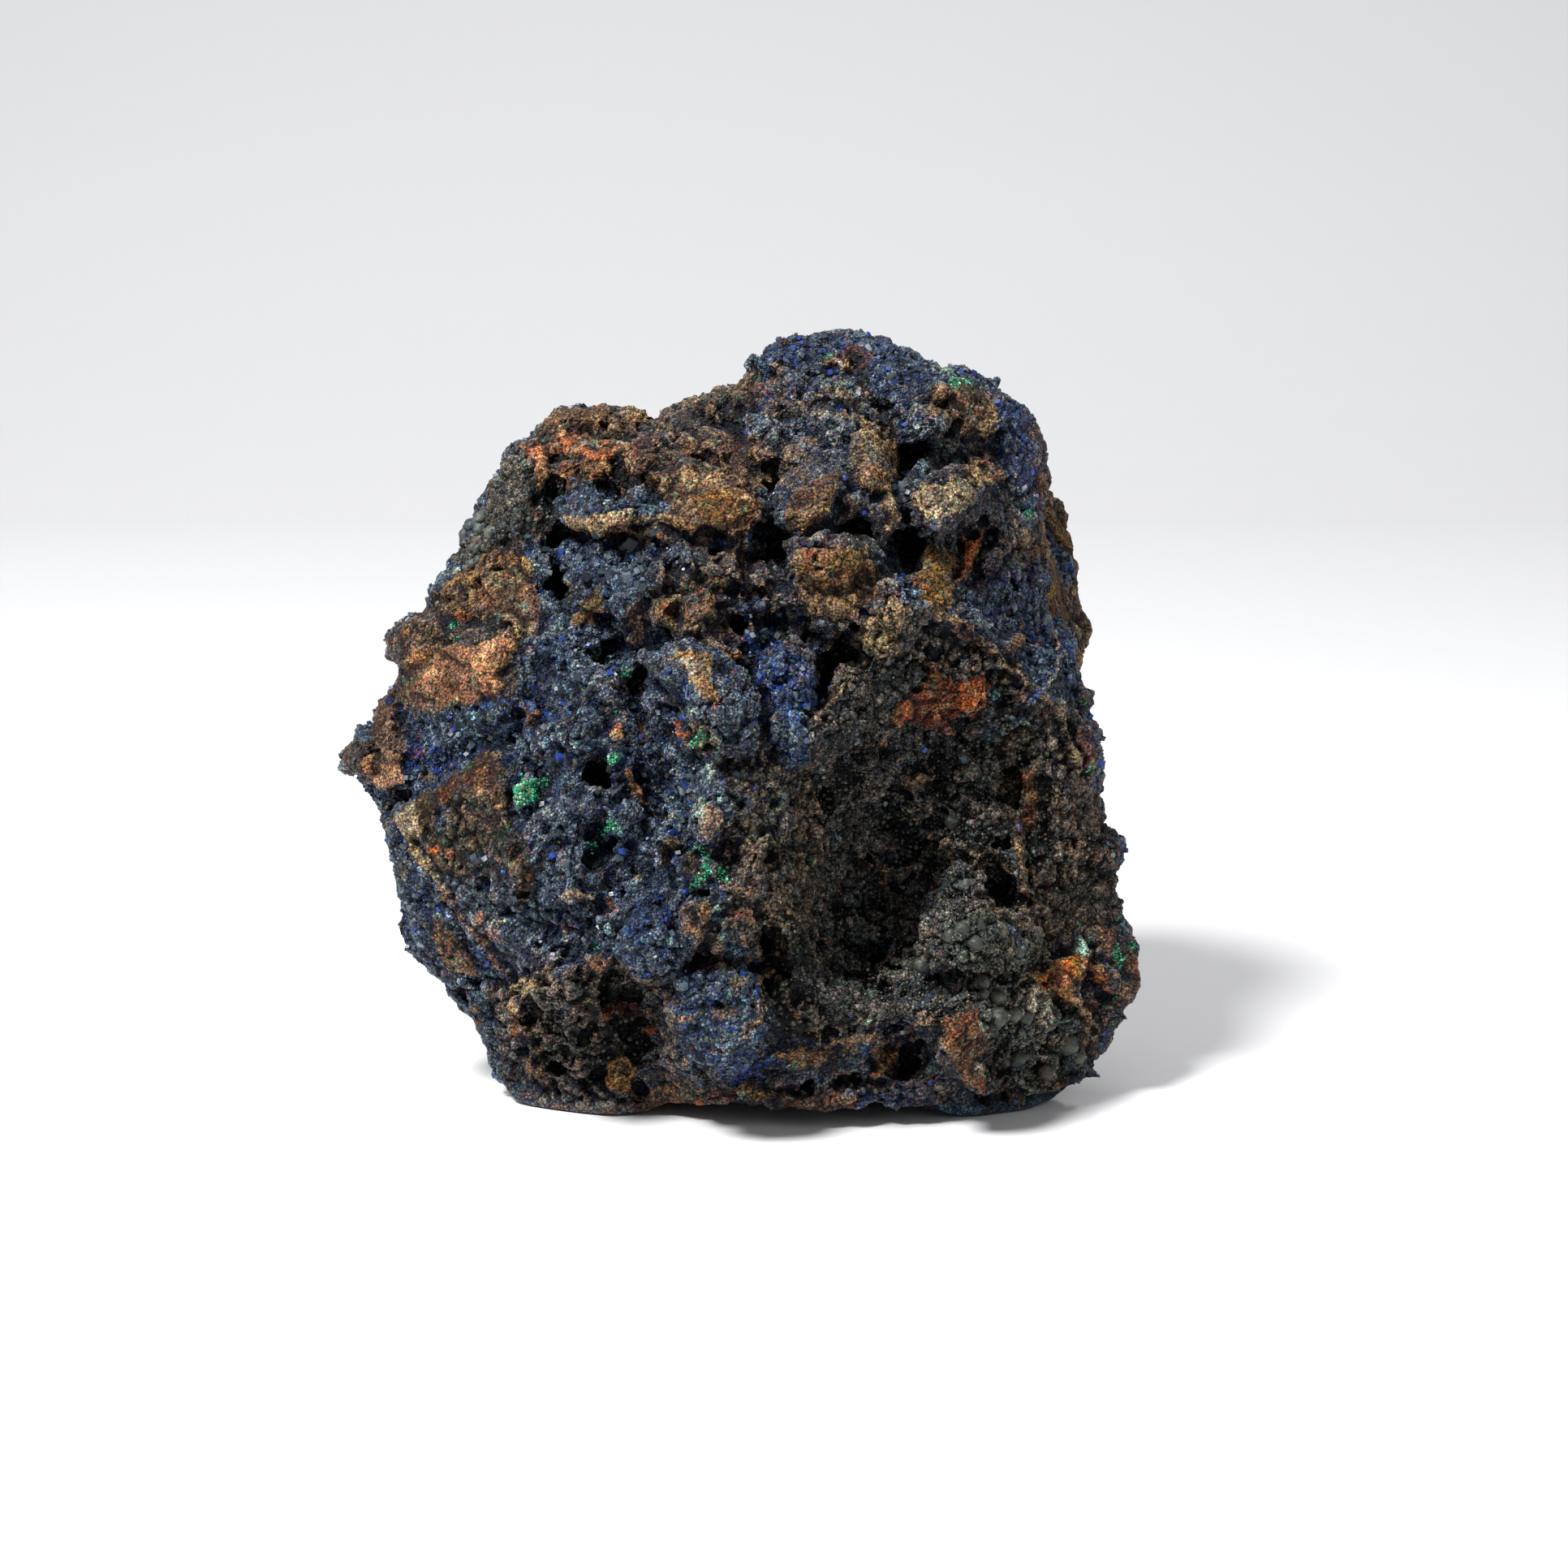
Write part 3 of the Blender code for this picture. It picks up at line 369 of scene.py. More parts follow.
    ("soot", 0.35, 0, (520, 1010, 560, 980, 610, 975, 635, 1040, 640, 1085, 590, 1068, 545, 1066)),
    ("slate", 0.85, 0.4, (578, 1050, 590, 1050, 604, 1058, 600, 1070, 580, 1068)),
    ("azurite", 0.7, 0, (530, 995, 548, 992, 552, 1020, 538, 1028)),
    ("umber", 0.7, 0.3, (630, 1040, 650, 1040, 652, 1110, 634, 1108)),
    ("slate", 0.7, 0.2, (545, 1078, 640, 1082, 645, 1130, 600, 1160, 565, 1118)),
    ("brown", 0.85, 0, (530, 1130, 545, 1145, 570, 1170, 590, 1200, 560, 1200, 540, 1170)),
    ("umber", 0.6, 0, (480, 1060, 500, 1062, 502, 1092, 484, 1092)),
    ("black", 0.81, -1.8, (722, 1045, 735, 1035, 742, 1050, 750, 1070, 738, 1080, 722, 1078)),
    # the lower centre
    ("maroon", 0.9, 1.6, (812, 1040, 818, 1030, 830, 1025, 842, 1032, 845, 1042, 830, 1048, 815, 1048)),
    ("maroon", 0.8, 1.3, (811, 1047, 824, 1047, 826, 1064, 813, 1066)),
    ("maroon", 0.8, 1.3, (829, 1050, 852, 1050, 852, 1062, 830, 1062)),
    ("maroon", 0.8, 1.4, (835, 1062, 855, 1060, 856, 1082, 838, 1084)),
    ("pink", 0.55, 0.8, (860, 1000, 880, 990, 892, 1000, 885, 1020, 872, 1040, 860, 1040, 855, 1020)),
    ("maroon", 0.6, 0.5, (868, 1044, 885, 1040, 892, 1065, 884, 1088, 868, 1084)),
    ("brown", 0.85, 1.3, (828, 1130, 835, 1118, 855, 1112, 875, 1115, 882, 1130, 876, 1150, 862, 1162, 840,
     1160, 828, 1145)),
    ("rust", 0.7, 0.5, (900, 1125, 915, 1118, 932, 1118, 934, 1130, 920, 1138, 905, 1135)),
    ("ochre", 0.6, 0, (903, 1092, 925, 1088, 935, 1100, 925, 1110, 905, 1108)),
    ("black", 0.81, -2, (942, 1150, 965, 1145, 975, 1160, 965, 1180, 945, 1180, 940, 1165)),
    ("azurite", 0.9, 1.2, (760, 1160, 775, 1130, 800, 1115, 820, 1130, 830, 1160, 845, 1180, 825, 1200,
     800, 1205, 780, 1200, 765, 1185)),
    ("ultramarine", 0.5, 0, (770, 1110, 815, 1100, 835, 1140, 800, 1165, 765, 1150)),
    ("black", 0.77, -1.5, (800, 1202, 815, 1204, 818, 1215, 808, 1222, 800, 1215)),
    ("slate", 0.7, 0.5, (735, 1128, 755, 1128, 757, 1152, 737, 1154)),
    ("chip", 0.75, 1.1, (722, 1180, 735, 1172, 748, 1178, 752, 1190, 742, 1198, 725, 1195)),
    ("black", 0.81, -1.8, (735, 1205, 755, 1195, 765, 1205, 770, 1225, 750, 1235, 735, 1225)),
    ("azurite", 0.92, 0.8, (845, 1200, 880, 1190, 915, 1185, 940, 1200, 945, 1230, 938, 1270, 925, 1300,
     890, 1320, 860, 1300, 840, 1270, 825, 1240)),
    ("ultramarine", 0.45, 0, (838, 1215, 870, 1195, 900, 1215, 880, 1245, 845, 1245)),
    ("ultramarine", 0.85, 0, (870, 1300, 910, 1296, 950, 1300, 940, 1320, 895, 1335)),
    # the lower left
    ("tan", 0.65, 0.4, (630, 1215, 640, 1205, 660, 1202, 668, 1210, 655, 1220, 640, 1222)),
    ("black", 0.85, -0.8, (728, 1216, 790, 1212, 800, 1290, 770, 1345, 725, 1330)),
    ("rust", 0.5, 0, (742, 1238, 785, 1238, 786, 1256, 745, 1258)),
    ("ochre", 0.8, 0.6, (755, 1305, 775, 1300, 790, 1310, 785, 1335, 765, 1345, 745, 1335)),
    ("ochre", 0.5, 0, (655, 1285, 676, 1284, 678, 1300, 656, 1302)),
    ("brown", 0.6, 0.5, (645, 1308, 676, 1310, 676, 1334, 650, 1336)),
    ("brown", 0.7, 0, (780, 1340, 840, 1335, 880, 1350, 860, 1368, 790, 1366)),
    # the bottom
    ("brown", 0.6, 0.3, (845, 1150, 880, 1150, 900, 1180, 898, 1196, 860, 1190)),
    ("ochre", 0.6, 0, (875, 1240, 905, 1238, 905, 1252, 876, 1252)),
    ("black", 0.77, 0, (940, 1180, 1000, 1160, 1010, 1240, 1000, 1290, 945, 1285)),
    ("brown", 0.7, 0.5, (922, 1283, 935, 1293, 950, 1295, 975, 1290, 975, 1298, 940, 1304)),
    ("ochre", 0.75, 0.3, (955, 1300, 985, 1295, 1010, 1298, 1030, 1300, 1020, 1315, 1000, 1322, 970, 1320)),
    ("slate", 0.7, 0, (950, 1318, 1015, 1318, 1015, 1335, 950, 1334)),
    ("black", 0.77, -1.4, (945, 1333, 1005, 1332, 1005, 1345, 948, 1346)),
    ("ochre", 0.8, 0.6, (900, 1335, 920, 1328, 935, 1330, 945, 1340, 960, 1345, 955, 1352, 935, 1350, 915,
     1348)),
    ("rust", 0.5, 0, (875, 1342, 915, 1342, 915, 1356, 878, 1356)),
    ("brown", 0.7, 0, (960, 1348, 1060, 1348, 1060, 1370, 962, 1370)),
    ("ultramarine", 0.5, 0, (1060, 1343, 1125, 1340, 1120, 1364, 1060, 1366)),
    ("brown", 0.7, 0.5, (1015, 1292, 1025, 1280, 1040, 1273, 1100, 1272, 1122, 1260, 1124, 1270, 1102,
     1282, 1040, 1284)),
    ("ochre", 0.8, 0.3, (1075, 1290, 1095, 1285, 1105, 1295, 1103, 1315, 1085, 1322, 1078, 1318, 1090,
     1305)),
    ("ochre", 0.5, 0, (1035, 1281, 1060, 1280, 1060, 1296, 1036, 1296)),
    ("slate", 0.6, 0, (1040, 1300, 1076, 1300, 1078, 1320, 1042, 1320)),
    ("black", 0.81, -1.7, (1030, 1325, 1100, 1323, 1102, 1341, 1032, 1342)),
    ("black", 0.81, -1.8, (1105, 1290, 1130, 1288, 1134, 1318, 1108, 1322)),
    ("umber", 0.8, 0.5, (1118, 1252, 1150, 1240, 1165, 1250, 1160, 1262, 1130, 1268)),
    # round the hollow
    ("black", 0.82, -1.7, (1015, 815, 1040, 795, 1050, 805, 1060, 805, 1055, 815, 1040, 825, 1025, 850,
     1010, 880, 995, 893, 985, 893, 1000, 875, 1015, 850)),
    ("grit", 0.9, 1.2, (1045, 795, 1055, 775, 1060, 765, 1080, 755, 1090, 735, 1100, 722, 1115, 735, 1130,
     750, 1125, 765, 1115, 780, 1110, 800, 1095, 815, 1080, 820, 1070, 812, 1060, 798)),
    ("tan", 0.4, 0, (1056, 780, 1080, 758, 1104, 730, 1124, 752, 1108, 782, 1084, 806, 1064, 800)),
    ("grit", 0.85, 0.5, (1040, 822, 1055, 820, 1060, 835, 1050, 850, 1030, 870, 1020, 885, 1005, 897, 1000,
     890, 1020, 865, 1030, 845)),
    ("rust", 0.97, 0, (1100, 885, 1110, 865, 1125, 855, 1140, 838, 1145, 820, 1165, 835, 1180, 842, 1200,
     838, 1222, 835, 1222, 860, 1228, 870, 1215, 880, 1200, 888, 1185, 888, 1180, 900, 1170, 908, 1160,
     900, 1150, 895, 1135, 900, 1120, 898, 1115, 880)),
    ("orange", 0.65, 0, (1180, 845, 1215, 842, 1222, 862, 1205, 880, 1180, 876)),
    ("orange", 0.55, 0, (1100, 872, 1122, 862, 1126, 884, 1106, 892)),
    ("rust", 0.55, 0.3, (1180, 772, 1205, 775, 1225, 802, 1200, 806, 1184, 790)),
    ("rust", 0.4, 0, (1140, 808, 1180, 810, 1178, 826, 1146, 822)),
    ("ochre", 0.5, 0, (1140, 720, 1180, 722, 1180, 750, 1150, 756)),
    ("brown", 0.6, 0.7, (1115, 958, 1155, 952, 1160, 972, 1120, 976)),
    ("ochre", 0.75, 0.3, (1240, 785, 1255, 775, 1268, 780, 1262, 792, 1245, 800)),
    ("azurite", 0.9, 0, (1280, 740, 1306, 738, 1330, 790, 1334, 850, 1315, 870, 1298, 830, 1284, 790)),
    ("ultramarine", 0.6, 0, (1300, 748, 1325, 790, 1322, 806, 1300, 800)),
    ("maroon", 0.8, 0.5, (1326, 848, 1346, 850, 1346, 868, 1328, 870)),
    ("rust", 0.6, 0.4, (1332, 890, 1352, 892, 1356, 950, 1336, 948)),
    ("black", 0.77, -1.4, (1235, 862, 1260, 862, 1262, 880, 1238, 882)),
    ("teal", 0.4, 0.7, (1245, 882, 1275, 880, 1275, 900, 1248, 902)),
    # inside the hollow
    ("bubbly", 0.9, 1.5, (1150, 1140, 1165, 1126, 1215, 1123, 1250, 1133, 1276, 1160, 1286, 1196, 1250,
     1208, 1200, 1196, 1165, 1192, 1150, 1168)),
    ("bubbly", 0.75, 0.9, (1205, 1200, 1262, 1205, 1290, 1240, 1280, 1275, 1230, 1275, 1210, 1240)),
    ("bubbly", 0.5, 0.9, (1070, 1190, 1120, 1172, 1150, 1180, 1150, 1205, 1110, 1222, 1075, 1216)),
    ("soot", 0.3, 0.9, (1040, 1120, 1080, 1125, 1085, 1160, 1050, 1165, 1030, 1145)),
    ("soot", 0.3, 0.9, (1185, 920, 1225, 918, 1240, 950, 1220, 975, 1190, 965)),
    ("soot", 0.3, 1.0, (1195, 990, 1235, 985, 1245, 1020, 1225, 1048, 1195, 1040)),
    ("soot", 0.3, 0.8, (1050, 930, 1090, 925, 1100, 960, 1075, 985, 1045, 970)),
    ("soot", 0.3, 0.9, (1100, 985, 1145, 980, 1155, 1005, 1130, 1020, 1100, 1012)),
    ("black", 0.77, -1.5, (1280, 930, 1296, 925, 1300, 1000, 1292, 1060, 1278, 1075, 1272, 1040, 1278, 980)),
    ("black", 0.68, -1.2, (1150, 935, 1168, 930, 1172, 975, 1160, 1000, 1150, 975)),
    ("grit", 0.5, 0.8, (1120, 1022, 1155, 1024, 1156, 1037, 1122, 1036)),
    ("bubbly", 0.8, 1.0, (1170, 1080, 1185, 1070, 1205, 1075, 1208, 1090, 1200, 1100, 1180, 1098, 1172,
     1092)),
    ("black", 0.75, -1.3, (1214, 1086, 1232, 1080, 1244, 1092, 1252, 1112, 1240, 1120, 1224, 1112)),
    ("black", 0.68, -1.2, (1052, 1058, 1078, 1056, 1078, 1074, 1054, 1074)),
    ("black", 0.68, -1.2, (1076, 1102, 1104, 1102, 1104, 1120, 1078, 1120)),
    ("grit", 0.8, 0.9, (1243, 1120, 1262, 1108, 1278, 1105, 1287, 1120, 1283, 1140, 1265, 1145, 1250, 1135)),
    ("slate", 0.7, 0.1, (1225, 1138, 1240, 1140, 1255, 1145, 1266, 1160, 1268, 1172, 1258, 1173, 1250,
     1158, 1235, 1150)),
    ("maroon", 0.6, 0, (1205, 1060, 1230, 1062, 1232, 1072, 1206, 1072)),
    ("black", 0.77, -1.4, (1215, 1194, 1240, 1194, 1240, 1206, 1216, 1206)),
    # the lower right
    ("ochre", 0.9, 0.8, (1276, 1202, 1296, 1188, 1320, 1176, 1340, 1168, 1344, 1186, 1334, 1206, 1326,
     1226, 1320, 1246, 1308, 1236, 1292, 1222, 1278, 1218)),
    ("orange", 0.55, 0.2, (1284, 1200, 1304, 1190, 1326, 1182, 1332, 1194, 1322, 1212, 1312, 1224, 1302,
     1214, 1288, 1210)),
    ("cream", 0.5, 0, (1272, 1214, 1290, 1212, 1300, 1224, 1296, 1252, 1284, 1262, 1272, 1244)),
    ("mint", 0.7, 0.2, (1330, 1160, 1342, 1162, 1346, 1176, 1336, 1184, 1328, 1174)),
    ("chip", 0.95, 1.2, (1342, 1190, 1355, 1182, 1368, 1188, 1375, 1205, 1372, 1222, 1360, 1218, 1350,
     1205)),
    ("rust", 0.6, 0.2, (1358, 1140, 1376, 1140, 1378, 1172, 1360, 1172)),
    ("maroon", 0.8, 0.2, (1384, 1164, 1400, 1166, 1402, 1200, 1386, 1200)),
    ("rust", 0.6, 0, (1384, 1168, 1402, 1170, 1405, 1196, 1388, 1198)),
    ("maroon", 0.9, 0.4, (1377, 1220, 1385, 1205, 1400, 1200, 1404, 1205, 1400, 1225, 1388, 1238, 1378,
     1232)),
    ("brown", 0.7, 0, (1334, 1228, 1352, 1232, 1358, 1288, 1340, 1292)),
    ("olive", 0.8, 0.7, (1357, 1236, 1378, 1236, 1380, 1254, 1360, 1256)),
    ("chip", 0.8, 1.3, (1162, 1250, 1185, 1240, 1205, 1238, 1220, 1250, 1222, 1270, 1218, 1295, 1205, 1300,
     1222, 1330, 1210, 1345, 1190, 1335, 1175, 1310, 1162, 1290)),
    ("rust", 0.6, 0, (1168, 1255, 1196, 1252, 1198, 1290, 1172, 1288)),
    ("black", 0.5, -0.6, (1196, 1262, 1214, 1260, 1216, 1300, 1204, 1322, 1192, 1300)),
    ("black", 0.77, -1, (1205, 1345, 1240, 1344, 1240, 1356, 1206, 1356)),
    ("umber", 0.8, 0, (1285, 1326, 1325, 1325, 1320, 1345, 1285, 1346)),
    ("ochre", 0.6, 0, (1238, 1346, 1258, 1346, 1258, 1358, 1240, 1358)),
    # faint tints over what is there
    ("tan", 0.1, 0, (945, 470, 1070, 466, 1092, 560, 1040, 590, 960, 582)),
    ("tan", 0.1, 0, (1240, 540, 1280, 540, 1290, 700, 1245, 710)),
    ("brown", 0.5, 0, (1276, 520, 1292, 530, 1297, 620, 1292, 690, 1280, 640)),
    ("black", 0.14, 0, (845, 1205, 880, 1192, 935, 1195, 940, 1230, 930, 1300, 860, 1305, 835, 1250)),
    ("black", 0.12, 0, (945, 405, 1000, 398, 1100, 398, 1110, 460, 950, 462)),
]

# Ridges, veins and cracks: kind, strength, lift, half width, and its points as x, y, x, y...
LINES = [
    ("black", 0.7, -1.2, 6, (1049, 434, 1060, 462, 1074, 486, 1086, 512, 1098, 540)),
    ("black", 0.6, -0.9, 4, (992, 418, 1000, 436, 994, 456)),
    ("black", 0.6, -0.9, 4, (1112, 428, 1106, 448, 1116, 470)),
    ("black", 0.5, -0.8, 4, (962, 446, 984, 458, 1000, 474, 1030, 478)),
    ("tan", 0.5, 0.6, 4, (968, 506, 990, 500, 1020, 512, 1060, 520, 1090, 536)),
    (None, 0, -1.2, 4, (712, 532, 745, 526)),
    ("tan", 0.75, 0.4, 5, (1065, 525, 1085, 535, 1100, 550, 1105, 570, 1098, 600, 1108, 640, 1095, 655)),
    ("tan", 0.8, 0.3, 5, (1222, 490, 1229, 505, 1224, 523, 1208, 535)),
    ("tan", 0.7, 0.5, 4, (1195, 570, 1222, 598)),
    ("tan", 0.7, 0.5, 5, (622, 760, 638, 780, 640, 795, 632, 815, 622, 828)),
    ("mint", 0.6, 0.1, 5, (1130, 425, 1145, 430, 1160, 448, 1178, 462)),
    ("tan", 0.75, 0.7, 6, (505, 1040, 520, 1062, 535, 1080, 548, 1105)),
    ("chip", 0.6, 0.6, 5, (548, 1105, 562, 1130, 580, 1148, 600, 1170, 615, 1195, 625, 1215, 630, 1240,
     635, 1270)),
    ("tan", 0.7, 0.5, 4, (850, 775, 880, 790, 900, 800, 915, 805)),
    ("orange", 0.7, 0.2, 3, (890, 798, 912, 806)),
    ("tan", 0.7, 0.5, 5, (690, 1105, 715, 1103, 728, 1110)),
    ("azure", 0.7, 0.2, 4, (735, 1112, 755, 1108)),
    ("teal", 0.8, 0.1, 3, (563, 1122, 575, 1132, 585, 1136)),
    ("orange", 0.7, 0.2, 3, (585, 1135, 583, 1120, 590, 1118, 592, 1130)),
    ("green", 0.85, 0.4, 5, (852, 1046, 862, 1055, 866, 1068, 860, 1080, 855, 1095, 845, 1098)),
    ("green", 0.85, 0.3, 3, (888, 1068, 895, 1078)),
    ("tan", 0.6, 0.3, 4, (625, 1215, 632, 1240, 645, 1260, 665, 1270)),
    ("tan", 0.45, 0.3, 4, (940, 1195, 943, 1215, 940, 1240, 935, 1255, 925, 1262, 920, 1280)),
    ("rust", 0.8, 0.2, 3, (920, 1155, 928, 1180)),
    ("orange", 0.7, 0.2, 3, (840, 1258, 860, 1250)),
    (None, 0, -1.2, 5, (838, 1296, 855, 1306, 872, 1308)),
    ("grit", 0.7, 0.6, 6, (965, 1205, 985, 1235, 1005, 1250, 1010, 1285)),
    ("tan", 0.6, 0.5, 4, (1180, 760, 1195, 778, 1215, 795, 1240, 815, 1262, 835, 1275, 842, 1295, 865,
     1305, 880, 1315, 900, 1322, 920, 1328, 945)),
    ("tan", 0.6, 0.3, 3, (1300, 780, 1302, 800, 1298, 830, 1290, 840)),
    ("tan", 0.5, 0.4, 3, (1085, 1060, 1098, 1078, 1100, 1095)),
    ("tan", 0.5, 1.2, 5, (1168, 1055, 1185, 1052, 1210, 1055, 1225, 1062, 1238, 1075, 1255, 1080, 1262,
     1095, 1266, 1105)),
    ("brown", 0.7, 1.5, 8, (1262, 1010, 1258, 1030, 1258, 1050, 1255, 1070)),
    ("rust", 0.8, 1.0, 7, (1265, 950, 1270, 975, 1266, 1008)),
    ("tan", 0.7, 0.5, 4, (1325, 1230, 1340, 1245, 1350, 1260, 1355, 1275)),
    (None, 0, -1.4, 5, (800, 870, 796, 940, 812, 1010)),
    (None, 0, -1.4, 5, (632, 880, 650, 930, 636, 985, 640, 1060)),
    (None, 0, -1.2, 4, (488, 870, 492, 890, 490, 905, 500, 925)),
    (None, 0, -1.6, 5, (486, 985, 505, 960, 545, 925)),
    (None, 0, -0.9, 4, (690, 658, 750, 662, 815, 668)),
    (None, 0, -1.2, 5, (650, 1130, 690, 1160, 712, 1200)),
    (None, 0, -1.4, 5, (880, 1045, 900, 1095, 895, 1115)),
]

